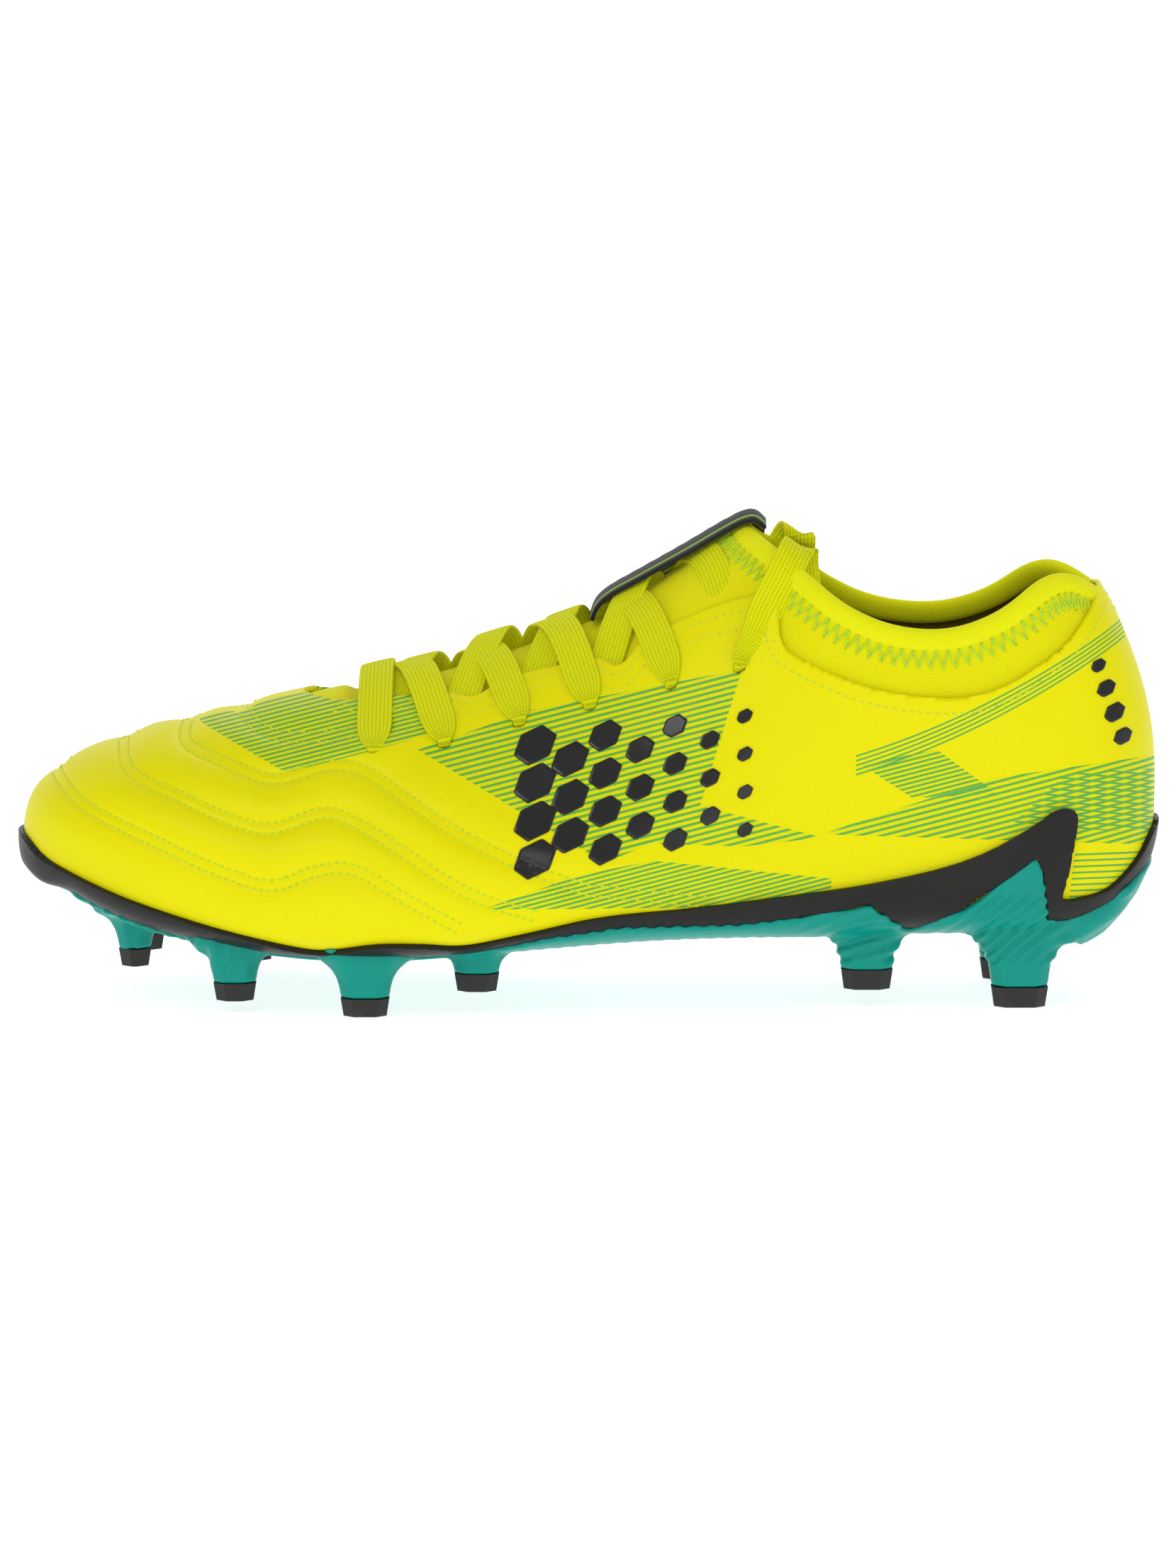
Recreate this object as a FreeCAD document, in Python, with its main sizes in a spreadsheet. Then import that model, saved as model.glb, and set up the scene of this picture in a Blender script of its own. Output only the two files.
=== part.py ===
"""Left football boot for firm ground: a sock-collar boot on a studded plate.

Frame: millimetres, +Z up, toe towards -X, lateral (outer) side towards -Y.
The origin is the centre of the boot's box at the level of the stud tips.
Every wall of the boot follows one lasted body, whose cross-sections are lofted
from heel to toe; each layer is that body grown or shrunk by its own amount.
"""
import FreeCAD, Part
import math
import os

DRIVING = [
    ("upper_wall", 1.3, "synthetic outer"),
    ("layer_gap", 0.2, "free space between two layers"),
    ("stiffener_wall", 0.8, "toe puff, heel counter and eyestay backing"),
    ("bootee_depth", 3.8, "outer of the boot to outer of the knit bootee"),
    ("bootee_wall", 1.1, "knit bootee"),
    ("binding_outer", 1.5, "outer of the boot to outer of the collar binding"),
    ("binding_wall", 3.9, "padded collar binding"),
    ("binding_height", 7.0, "height of the collar binding"),
    ("lining_wall", 0.8, "heel lining"),
    ("board_wall", 1.9, "insole board"),
    ("footbed_wall", 4.0, "footbed"),
    ("sidewall_wall", 1.3, "black sidewall"),
    ("plate_side_wall", 1.9, "sole plate where it runs up the sides"),
    ("plate_floor_wall", 2.0, "sole plate under the foot"),
    ("tip_forefoot_height", 4.4, "stud tip, forefoot"),
    ("tip_heel_height", 5.0, "stud tip, heel"),
    ("tip_draft", 0.7, "how much a stud tip narrows on each side"),
    ("tip_chamfer", 2.6, "corner cut of a stud tip"),
    ("stem_flare", 7.5, "how much a stem widens on each side up to the plate"),
    ("stem_flare_across", 3.6, "how far a stem flares to each side across the boot"),
    ("eyelet_radius", 1.7, "punched lace hole"),
    ("lace_width", 8.0, "flat lace"),
    ("lace_width_in_eyelet", 2.4, "flat lace squeezed through a punched hole"),
    ("lace_wall", 0.9, "flat lace"),
    ("lace_over", 0.75, "middle of the lace above the outer"),
    ("lace_under", 2.9, "middle of the lace below the outer's surface"),
    ("aglet_radius", 1.5, "lace tip"),
    ("aglet_length", 20.0, "lace tip"),
    ("label_width", 17.0, "woven lace keeper"),
    ("label_wall", 0.9, "woven lace keeper"),
    ("mark_wall", 0.25, "raised film marks"),
]

# x, lateral y, medial y, height of the widest line, floor, ridge height, ridge y,
# then how upright the wall is and how full the top is, both from 0 to 1.
STATIONS = [
    (-142.5, -30.0, 38.0, 41.0, 30.0, 61.0, 6.0, 0.55, 0.60),
    (-130.0, -33.0, 40.0, 40.5, 25.6, 64.0, 6.0, 0.55, 0.60),
    (-115.0, -37.0, 43.0, 38.0, 20.9, 66.2, 5.5, 0.55, 0.60),
    (-95.0, -42.0, 46.0, 34.0, 17.2, 70.2, 5.0, 0.50, 0.56),
    (-75.0, -46.5, 48.0, 30.0, 14.4, 75.5, 5.0, 0.46, 0.50),
    (-55.0, -49.5, 47.0, 29.0, 13.8, 80.0, 5.5, 0.42, 0.44),
    (-35.0, -49.5, 43.5, 30.0, 14.6, 85.0, 6.0, 0.40, 0.40),
    (-10.0, -46.5, 38.0, 32.0, 16.6, 93.0, 6.0, 0.40, 0.38),
    (15.0, -42.5, 34.5, 35.0, 18.0, 103.3, 5.0, 0.42, 0.38),
    (38.0, -39.0, 33.0, 38.0, 18.4, 118.5, 3.0, 0.50, 0.42),
    (58.0, -36.5, 33.0, 41.0, 18.3, 126.0, 1.0, 0.68, 0.60),
    (80.0, -35.3, 34.0, 44.0, 19.0, 126.0, 0.0, 0.76, 0.66),
    (100.0, -35.0, 34.5, 47.0, 19.0, 124.5, 0.0, 0.76, 0.66),
    (122.0, -34.5, 34.5, 51.0, 18.4, 124.0, 0.0, 0.76, 0.66),
    (142.5, -33.0, 33.0, 57.0, 23.0, 118.0, 0.0, 0.76, 0.66),
]
TOE_START, TOE_TIP_Y, TOE_TIP_Z = -92.0, 6.0, 41.0
HEEL_START, HEEL_TIP_Y, HEEL_TIP_Z = 100.0, 0.0, 57.0
HALF_LENGTH = 142.5
LOWER_RISE, LOWER_FULLNESS = 0.9, 0.97
END_SHARES = (0.25, 0.5, 0.7, 0.84, 0.93, 0.975, 0.995)
MIDDLE_X = (-92, -80, -66, -50, -32, -12, 8, 26, 40, 52, 66, 82, 100)

# The upper edge of the sock collar, seen from the side.
RIM_LATERAL = [(36.5, 135), (37.5, 124), (40, 118.6), (49, 111.5), (62, 101), (72, 95.6), (83, 93.4),
               (93, 94.4), (103, 98.9), (109.5, 104), (114, 107.4), (118.5, 108.4), (123, 106.8),
               (132, 101.5)]
RIM_MEDIAL = [(36.5, 135), (37.5, 124), (40, 118.6), (49, 113), (62, 104), (72, 99.6), (83, 97.6),
              (93, 97.8), (103, 100.6), (109.5, 104.6), (114, 107.4), (118.5, 108.4), (123, 106.8),
              (132, 101.5)]
# The synthetic outer's edge behind the throat, seen from the side.
EDGE_LATERAL = [(46.5, 128), (46.8, 98), (48, 90.5), (52, 87.2), (65, 81.4), (77, 78.4), (88, 77.4),
                (97, 78.4), (105, 81.8), (112, 86.4), (119, 92), (125, 99.5), (127, 103), (133, 108)]
EDGE_MEDIAL = [(46.5, 128), (46.8, 100), (48, 93.5), (52, 90.2), (65, 84.4), (77, 81.4), (88, 80.4),
               (97, 81), (105, 83.4), (112, 87), (119, 92), (125, 99.5), (127, 103), (133, 108)]
# The knitted bootee's lower hem, where it joins the foot lining, seen from the side.
BOOTEE_HEM = [(-150, 72), (-92, 64), (-70, 58), (-50, 57), (-30, 58), (-10, 61), (15, 66), (38, 70), (58, 67),
              (80, 64), (100, 68), (120, 76), (150, 84)]
# The throat in plan: the scalloped eyestay edge, front to back, on both sides.
THROAT_LATERAL = [(-72, 2), (-68, -6), (-62, -11), (-52, -13), (-42, -14), (-34, -15.5), (-28, -18),
                  (-20, -15), (-8, -15), (2, -16), (8, -19.5), (14, -16), (26, -16.5), (40, -20), (48, -24)]
THROAT_MEDIAL = [(48, 26), (40, 22), (26, 21), (14, 21.5), (8, 25), (2, 22), (-8, 21.5),
                 (-20, 22), (-28, 25), (-34, 22.5), (-42, 21.5), (-52, 21), (-62, 19), (-68, 14)]
EYELETS_X = (-53.0, -35.5, -17.0, 0.5, 20.5, 37.5)
EYELETS_Z = (64.5, 66.5, 71.5, 75.5, 81.0, 85.5)
BACKING_REACH = 17.0

# The sidewall's upper and lower edges, seen from the side.
BITE_LINE = [(-146, 41), (-141, 39.5), (-136, 36), (-130, 33), (-118, 28.5), (-106, 25), (-94, 22),
             (-82, 19.5), (-70, 17.0), (-64, 16.8), (-52, 18.8), (-40, 18.8), (-30, 18.2), (-16, 21),
             (2, 25), (26, 27), (50, 29.6), (68, 32), (86, 35.8), (98, 40), (110, 46), (116, 49.8),
             (120, 50), (121.5, 47), (120.5, 32), (119.5, 28), (128, 29.5), (136, 33), (141, 40),
             (146, 48)]
PLATE_LINE = [(-146, 25), (-133.5, 25), (-132.5, 28.5), (-124, 26.5), (-112, 22.6), (-100, 19), (-88, 16.6),
              (-76, 14.4), (-58, 14), (-46, 15.4), (-34, 15.5), (-22, 18.4), (-10, 20.8), (8, 23), (38, 23),
              (56, 25), (69, 27.5), (80, 20.5), (92, 25.8), (104, 33.6), (112, 39), (114, 36), (116.5, 20.4),
              (128, 24.2), (139, 30), (146, 34)]

# Studs: name, x, y, ground clearance, length along x, width along y.
STUDS = [
    ("toe_lateral", -113.5, -13.0, 8.6, 8.0, 7.5), ("toe_medial", -112.5, 22.0, 7.6, 8.0, 7.5),
    ("front_lateral", -87.5, -31.5, 2.8, 10.5, 8.5), ("front_medial", -86.5, 36.0, 2.8, 10.5, 8.5),
    ("ball_lateral", -55.0, -38.5, 0.0, 12.0, 9.0), ("ball_medial", -57.0, 37.0, 0.0, 12.0, 9.0),
    ("waist_lateral", -27.5, -33.0, 5.4, 11.0, 9.0), ("waist_medial", -29.0, 29.0, 5.4, 11.0, 9.0),
    ("heel_front_lateral", 69.5, -21.5, 4.2, 12.8, 9.5), ("heel_front_medial", 70.5, 21.0, 4.2, 12.8, 9.5),
    ("heel_rear_lateral", 107.5, -23.0, 0.0, 14.0, 10.0), ("heel_rear_medial", 107.5, 23.0, 0.0, 14.0, 10.0),
]
# How far up a stem each of its levels is, and its share of the flare there.
STEM_LEVELS = ((0.0, 0.0), (0.2, 0.05), (0.36, 0.14), (0.5, 0.3), (0.62, 0.55), (0.72, 0.82), (1.0, 1.1))
STEM_CENTRE_Y = 3.0
# How far past the boot's own floor a stem is carried before the inside is cut away.
STEM_OVERLAP = 4.5

# The tongue label seen from the side, front to back.
LABEL_LINE = [(0.6, 94.4), (2.0, 98.4), (5.5, 102.0), (13.0, 106.8), (24.0, 113.4), (33.0, 119.0),
              (39.0, 122.1), (42.6, 121.5), (44.0, 118.6)]

# A tucked lace end after the last eyelet: x, z, and how far out of the outer's surface.
TAIL_WALL = [(38.2, 88.4, 0.75), (41.0, 93.0, 0.75), (44.0, 99.0, 0.75), (47.2, 105.0, 0.8),
             (49.6, 109.6, 0.8), (51.4, 112.9, -0.6), (52.4, 113.8, -3.4), (53.2, 112.0, -6.0),
             (53.6, 107.5, -6.4), (54.2, 98.0, -6.6), (55.0, 84.0, -6.8), (55.4, 70.0, -7.0),
             (55.4, 56.0, -7.4), (55.0, 45.0, -8.6)]
# Its last stretch, x and y, lying along the footbed towards the toe.
TAIL_FLOOR = [(52.5, 21.0, 14.6), (48.0, 19.5, 12.2), (40.0, 19.0, 11.0), (26.0, 19.5, 10.6),
              (8.0, 20.5, 10.6), (-10.0, 21.5, 10.9), (-26.0, 22.0, 10.9)]
TAIL_LIFT_MEDIAL = 1.6
STROBEL_TOP_GAP = 0.15
WIDE = 70.0


def smooth(rows, x, column):
    """The value of one column at x, on a smooth curve through the rows."""
    last = len(rows) - 1
    if x <= rows[0][0]:
        return rows[0][column]
    if x >= rows[last][0]:
        return rows[last][column]
    i = max(k for k in range(last) if rows[k][0] <= x)

    def slope(k):
        a, b = max(k - 1, 0), min(k + 1, last)
        return (rows[b][column] - rows[a][column]) / (rows[b][0] - rows[a][0])

    span = rows[i + 1][0] - rows[i][0]
    s = (x - rows[i][0]) / span
    return ((2 * s ** 3 - 3 * s ** 2 + 1) * rows[i][column] + (s ** 3 - 2 * s ** 2 + s) * span * slope(i)
            + (3 * s ** 2 - 2 * s ** 3) * rows[i + 1][column] + (s ** 3 - s ** 2) * span * slope(i + 1))


def closing(share, power):
    """How far a section has shrunk at this share of the way to the toe or heel tip."""
    return (1.0 - min(share, 1.0) ** power) ** (1.0 / power)


def section(x, grow, floor_grow=None):
    """The lasted body's section at x, grown by this much: key points and handle shares."""
    floor_grow = grow if floor_grow is None else floor_grow
    lateral, medial, widest, floor, ridge, ridge_y, rise, full = (smooth(STATIONS, x, k) for k in range(1, 9))
    lateral, medial, floor, ridge = lateral - grow, medial + grow, floor - floor_grow, ridge + grow
    if x < TOE_START:
        share = (TOE_START - x) / (HALF_LENGTH + TOE_START + grow)
        tip_y, tip_z = TOE_TIP_Y, TOE_TIP_Z
        across, up, down = closing(share, 2.3), closing(share, 2.6), closing(share, 2.6)
    elif x > HEEL_START:
        share = (x - HEEL_START) / (HALF_LENGTH - HEEL_START + grow)
        tip_y, tip_z = HEEL_TIP_Y, HEEL_TIP_Z
        across, up, down = closing(share, 2.3), closing(share, 1.9), closing(share, 3.5)
    else:
        return lateral, medial, widest, floor, ridge, ridge_y, rise, full
    return (tip_y + (lateral - tip_y) * across, tip_y + (medial - tip_y) * across,
            tip_z + (widest - tip_z) * up, tip_z + (floor - tip_z) * down,
            tip_z + (ridge - tip_z) * up, tip_y + (ridge_y - tip_y) * across, rise, full)


def bezier(points):
    curve = Part.BezierCurve()
    curve.setPoles([FreeCAD.Vector(*p) for p in points])
    return curve.toShape()


def section_wire(x, grow, floor_grow=None):
    lateral, medial, widest, floor, ridge, ridge_y, rise, full = section(x, grow, floor_grow)
    up, down = ridge - widest, widest - floor

    def quarter(side, sign):
        reach = side - ridge_y
        if sign > 0:
            return [(x, side, widest), (x, side, widest + rise * up),
                    (x, ridge_y + full * reach, ridge), (x, ridge_y, ridge)]
        return [(x, side, widest), (x, side, widest - LOWER_RISE * down),
                (x, ridge_y + LOWER_FULLNESS * reach, floor), (x, ridge_y, floor)]

    return Part.Wire([bezier(quarter(lateral, -1)[::-1]), bezier(quarter(lateral, 1)),
                      bezier(quarter(medial, 1)[::-1]), bezier(quarter(medial, -1))])


def stations_for(grow):
    toe, heel = HALF_LENGTH + TOE_START + grow, HALF_LENGTH - HEEL_START + grow
    return ([TOE_START - toe * s for s in reversed(END_SHARES)] + list(MIDDLE_X)
            + [HEEL_START + heel * s for s in END_SHARES])


def wire_in_side_view(points, y):
    vectors = [FreeCAD.Vector(px, y, pz) for px, pz in points]
    return Part.makePolygon(vectors + vectors[:1])


def rounded(points, steps=4):
    """A finer polyline through hand-set points, on a smooth curve."""
    out = []
    for i in range(len(points) - 1):
        before, a = points[max(i - 1, 0)], points[i]
        b, after = points[i + 1], points[min(i + 2, len(points) - 1)]
        for k in range(steps):
            s = k / steps
            linear = [b[c] - before[c] for c in range(2)]
            square = [2 * before[c] - 5 * a[c] + 4 * b[c] - after[c] for c in range(2)]
            cube = [3 * a[c] - before[c] - 3 * b[c] + after[c] for c in range(2)]
            out.append(tuple(0.5 * (2 * a[c] + linear[c] * s + square[c] * s * s + cube[c] * s ** 3)
                             for c in range(2)))
    return out + [points[-1]]


def side_zone(outline):
    """Everything behind an outline seen from the side, right across the boot."""
    return Part.Face(wire_in_side_view(outline, -WIDE)).extrude(FreeCAD.Vector(0, 2 * WIDE, 0))


def side_prism(lateral, medial, close):
    """A solid between two outlines seen from the side, one at each side of the boot."""
    wires = [wire_in_side_view(line + close(line), y) for line, y in ((lateral, -WIDE), (medial, WIDE))]
    return Part.makeLoft(wires, True, True)


def above(line):
    return [(line[-1][0], 190.0), (line[0][0], 190.0)]


def below(line):
    return [(line[-1][0], -60.0), (line[0][0], -60.0)]


def shifted(line, dx, dz):
    return [(px + dx, pz + dz) for px, pz in line]


class Boot:
    """The document, its sheet and its sub-parts."""

    def __init__(self):
        self.doc = FreeCAD.newDocument("football_boot")
        self.sheet = self.doc.addObject("Spreadsheet::Sheet", "dims")
        for row, (alias, value, what) in enumerate(DRIVING, start=1):
            self.sheet.set(f"A{row}", what)
            self.sheet.set(f"B{row}", str(value))
            self.sheet.setAlias(f"B{row}", alias)
        self.doc.recompute()
        self.parts = []
        self.bodies = {}

    def dim(self, alias):
        return float(self.sheet.get(alias))

    def keep(self, obj, label):
        obj.Label = label
        self.parts.append(obj)
        return obj

    def last_solid(self, grow, floor_grow=None):
        """A Part::Loft of the lasted body grown by this much, made once for each amount."""
        key = (round(grow, 4), floor_grow)
        if key not in self.bodies:
            wires = []
            for x in stations_for(grow):
                wire = self.doc.addObject("Part::Feature", "section")
                wire.Shape = section_wire(x, grow, floor_grow)
                wires.append(wire)
            loft = self.doc.addObject("Part::Loft", "lasted_body")
            loft.Sections, loft.Solid, loft.Ruled, loft.Closed = wires, True, False, False
            self.doc.recompute()
            self.bodies[key] = loft
        return self.bodies[key]

    def solid(self, shape, name):
        feature = self.doc.addObject("Part::Feature", name)
        feature.Shape = shape
        return feature

    def cut(self, base, tool, name):
        obj = self.doc.addObject("Part::Cut", name)
        obj.Base, obj.Tool = base, tool
        return obj

    def common(self, base, tool, name):
        obj = self.doc.addObject("Part::Common", name)
        obj.Base, obj.Tool = base, tool
        return obj

    def layer(self, outer, inner, name):
        return self.cut(self.last_solid(outer), self.last_solid(inner), name)


def plate_line():
    """The sole plate's upper edge seen from the side, never under the foot's floor."""
    return [(px, max(pz, section(max(min(px, 136.0), -136.0), 0.0)[3] + 0.8)) for px, pz in PLATE_LINE]


def floor_slab(low, high):
    """The space between two heights over the lasted body's floor, across the whole boot."""
    xs = [x for x in range(-145, 146, 10)]

    def at(x, rise):
        return (x, section(max(min(x, 140.0), -140.0), 0.0)[3] + rise)

    outline = [at(x, low) for x in xs] + [at(x, high) for x in reversed(xs)]
    return side_zone(outline)


def plan_prism(outline, low, high):
    points = [FreeCAD.Vector(px, py, low) for px, py in outline]
    return Part.Face(Part.makePolygon(points + points[:1])).extrude(FreeCAD.Vector(0, 0, high - low))


def on_curve(x, side, s, grow=0.0):
    """A point of the wall above its widest line: s runs from 0 there to 1 on the ridge."""
    lateral, medial, widest, floor, ridge, ridge_y, rise, full = section(x, grow)
    reach = (lateral if side < 0 else medial) - ridge_y
    b0, b1, b2, b3 = (1 - s) ** 3, 3 * s * (1 - s) ** 2, 3 * s * s * (1 - s), s ** 3
    y = ridge_y + reach * (b0 + b1 + full * b2)
    return FreeCAD.Vector(x, y, widest * b0 + (widest + rise * (ridge - widest)) * b1 + ridge * (b2 + b3))


def share_at(test):
    """The share of the curve where test stops being true."""
    low, high = 0.0, 1.0
    for _ in range(40):
        s = (low + high) / 2
        low, high = (s, high) if test(s) else (low, s)
    return low


def at_height(x, z, side, grow=0.0):
    """The wall's point at height z, above the widest line; side is -1 lateral, 1 medial."""
    return on_curve(x, side, share_at(lambda s: on_curve(x, side, s, grow).z < z), grow)


def above_plan(x, y, grow):
    """The point over (x, y) on the wall, taken to the same share of the grown wall's curve."""
    ridge_y = section(x, 0.0)[5]
    side = -1 if y < ridge_y else 1
    s = share_at(lambda t: abs(on_curve(x, side, t).y - ridge_y) > abs(y - ridge_y))
    return on_curve(x, side, s, grow)


def along_wall(x, y):
    """The direction of the wall along the boot at (x, y)."""
    ridge_y = section(x, 0.0)[5]
    side = -1 if y < ridge_y else 1
    s = share_at(lambda t: abs(on_curve(x, side, t).y - ridge_y) > abs(y - ridge_y))
    return on_curve(x + 1.5, side, s) - on_curve(x - 1.5, side, s)


def eyelet_places(side):
    lift = 0.0 if side < 0 else 2.5
    return [at_height(x, z + lift, side) for x, z in zip(EYELETS_X, EYELETS_Z)]


def wall_normal(place, side):
    """The outward direction of the wall at a place, in its section's plane."""
    along = at_height(place.x, place.z + 0.5, side) - at_height(place.x, place.z - 0.5, side)
    return FreeCAD.Vector(0, along.z * side, -along.y * side).normalize()


def eyelet_punches(side, radius):
    tools = []
    for place in eyelet_places(side):
        normal = wall_normal(place, side)
        tools.append(Part.makeCylinder(radius, 12.0, place - normal * 6.0, normal))
    return Part.makeCompound(tools)


def throat_outline():
    return rounded(THROAT_LATERAL) + rounded(THROAT_MEDIAL)


def make_upper(boot):
    shell = boot.layer(0.0, -boot.dim("upper_wall"), "upper_walls")
    throat = boot.solid(plan_prism(throat_outline(), 58.0, 150.0), "throat_tool")
    collar = boot.solid(side_prism(rounded(EDGE_LATERAL), rounded(EDGE_MEDIAL), above), "collar_tool")
    floor = boot.solid(floor_slab(-20.0, boot.dim("board_wall") + STROBEL_TOP_GAP), "floor_tool")
    punches = boot.solid(Part.makeCompound([eyelet_punches(side, boot.dim("eyelet_radius"))
                                            for side in (-1, 1)]), "punches")
    for number, tool in enumerate((throat, collar, floor, punches)):
        shell = boot.cut(shell, tool, f"upper_cut_{number}")
    boot.keep(shell, "upper_shell")


def make_bootee(boot):
    """The knit sock, seen in the throat and round the collar, and the lining below it inside the upper."""
    depth, wall = boot.dim("bootee_depth"), boot.dim("bootee_wall")
    shell = boot.layer(-depth, -depth - wall, "bootee_walls")
    drop = boot.dim("binding_height") + boot.dim("layer_gap")
    rim = boot.solid(side_prism(shifted(rounded(RIM_LATERAL), -1.5, -drop),
                                shifted(rounded(RIM_MEDIAL), -1.5, -drop), above), "rim_tool")
    hem = rounded(BOOTEE_HEM)
    under = boot.solid(side_zone(hem + below(hem)), "bootee_hem_tool")
    boot.keep(boot.cut(boot.cut(shell, rim, "bootee_cut"), under, "bootee_hemmed"), "knit_bootee")
    low = shifted(hem, 0.0, -boot.dim("layer_gap"))
    under = boot.solid(side_zone(low + below(low)), "lining_hem_tool")
    floor = boot.solid(floor_slab(-20.0, boot.dim("board_wall") + STROBEL_TOP_GAP), "floor_tool")
    walls = boot.common(shell, under, "lining_walls_zone")
    boot.keep(boot.cut(walls, floor, "lining_floor_cut"), "foot_lining")


def make_binding(boot):
    outer, wall, height = boot.dim("binding_outer"), boot.dim("binding_wall"), boot.dim("binding_height")
    walls = boot.layer(-outer, -outer - wall, "binding_walls")
    over = boot.solid(side_prism(rounded(RIM_LATERAL), rounded(RIM_MEDIAL), above), "rim_top_tool")
    band = boot.solid(side_prism(shifted(rounded(RIM_LATERAL), -1.5, -height),
                                 shifted(rounded(RIM_MEDIAL), -1.5, -height), above), "rim_band_tool")
    ring = boot.common(boot.cut(walls, over, "binding_top"), band, "binding_ring")
    boot.keep(ring, "collar_binding")


def make_stiffeners(boot):
    start = boot.dim("upper_wall") + boot.dim("layer_gap")
    wall = boot.dim("stiffener_wall")
    walls = boot.layer(-start, -start - wall, "stiffener_walls")
    gap = boot.dim("board_wall") + 1.2

    def keep_common(outline, label):
        zone = boot.solid(side_zone(outline), "zone")
        piece = boot.common(walls, zone, label + "_zone")
        floor = boot.solid(floor_slab(-20.0, gap), "floor_tool")
        boot.keep(boot.cut(piece, floor, label + "_open"), label)

    keep_common([(-150, 10), (-112, 10), (-116, 80), (-150, 80)], "toe_puff")
    keep_common([(80, 10), (150, 10), (150, 84), (104, 76), (88, 44)], "heel_counter")
    for side, label in ((-1, "eyestay_backing_lateral"), (1, "eyestay_backing_medial")):
        line = rounded(THROAT_LATERAL[3:14]) if side < 0 else rounded(THROAT_MEDIAL[1:12])
        inset = [(px, py + 0.6 * side) for px, py in line]
        reach = [(px, py + BACKING_REACH * side) for px, py in line]
        zone = boot.solid(plan_prism(inset + reach[::-1], 56.0, 150.0), "zone")
        strip = boot.common(walls, zone, label + "_zone")
        punches = boot.solid(eyelet_punches(side, boot.dim("eyelet_radius")), "punches")
        boot.keep(boot.cut(strip, punches, label + "_open"), label)


def make_lining_and_insoles(boot):
    start = boot.dim("bootee_depth") + boot.dim("bootee_wall") + boot.dim("layer_gap")
    walls = boot.layer(-start, -start - boot.dim("lining_wall"), "lining_walls")
    board = boot.dim("board_wall")
    outline = [(94, 34), (150, 34), (150, 93), (116, 92), (104, 86), (97, 70)]
    zone = boot.solid(side_zone(outline), "zone")
    boot.keep(boot.common(walls, zone, "lining_zone"), "heel_lining")
    slab = boot.solid(floor_slab(0.0, board), "board_slab")
    boot.keep(boot.common(boot.last_solid(0.0), slab, "board_zone"), "insole_board")
    slab = boot.solid(floor_slab(start, start + boot.dim("footbed_wall")), "footbed_slab")
    boot.keep(boot.common(boot.last_solid(-start - 0.2), slab, "footbed_zone"), "footbed")


def make_sidewall(boot):
    walls = boot.layer(boot.dim("sidewall_wall") + 0.1, 0.1, "sidewall_walls")
    top, low = rounded(BITE_LINE), plate_line()
    outline = top + low[::-1]
    zone = boot.solid(side_zone(outline), "zone")
    boot.keep(boot.common(walls, zone, "sidewall_zone"), "outsole_sidewall")


def tip_height(boot, name):
    return boot.dim("tip_heel_height" if name.startswith("heel") else "tip_forefoot_height")


def octagon(x, y, z, length, width, corner):
    """A level rectangle with cut corners."""
    a, b = length / 2, width / 2
    around = [(a - corner, b), (corner - a, b), (-a, b - corner), (-a, corner - b),
              (corner - a, -b), (a - corner, -b), (a, corner - b), (a, b - corner)]
    points = [FreeCAD.Vector(x + px, y + py, z) for px, py in around]
    return Part.makePolygon(points + points[:1])


def stud_stem(boot, stud):
    """The moulded stem of one stud, flaring more along the boot than across it."""
    name, x, y, clear, length, width = stud
    base, top = clear + tip_height(boot, name), section(x, 0.0)[3] + STEM_OVERLAP
    inward = 1.0 if y < STEM_CENTRE_Y else -1.0
    levels = []
    for rise, share in STEM_LEVELS:
        along, across = share * boot.dim("stem_flare"), share * boot.dim("stem_flare_across")
        z = base + rise * (top - base)
        levels.append(octagon(x, y + inward * across * 0.7, z, length + 2 * along, width + 2 * across,
                              boot.dim("tip_chamfer") + 0.7 * across))
    return Part.makeLoft(levels, True, True)


def make_plate(boot):
    side, floor = boot.dim("plate_side_wall"), boot.dim("plate_floor_wall")
    low = shifted(plate_line(), 0.0, -0.15)
    zone = boot.solid(side_zone(low + below(low)), "zone")
    inner = boot.last_solid(0.15)
    walls = boot.cut(boot.last_solid(side + 0.15, floor), inner, "plate_walls")
    sheet = boot.common(walls, zone, "plate_sheet")
    stems = [boot.cut(boot.solid(stud_stem(boot, stud), "stem"), inner, "stem_open") for stud in STUDS]
    bulk = boot.doc.addObject("Part::MultiFuse", "plate_and_stems")
    bulk.Shapes = [sheet] + stems
    boot.keep(boot.common(bulk, zone, "plate_trimmed"), "outsole_plate")


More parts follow.
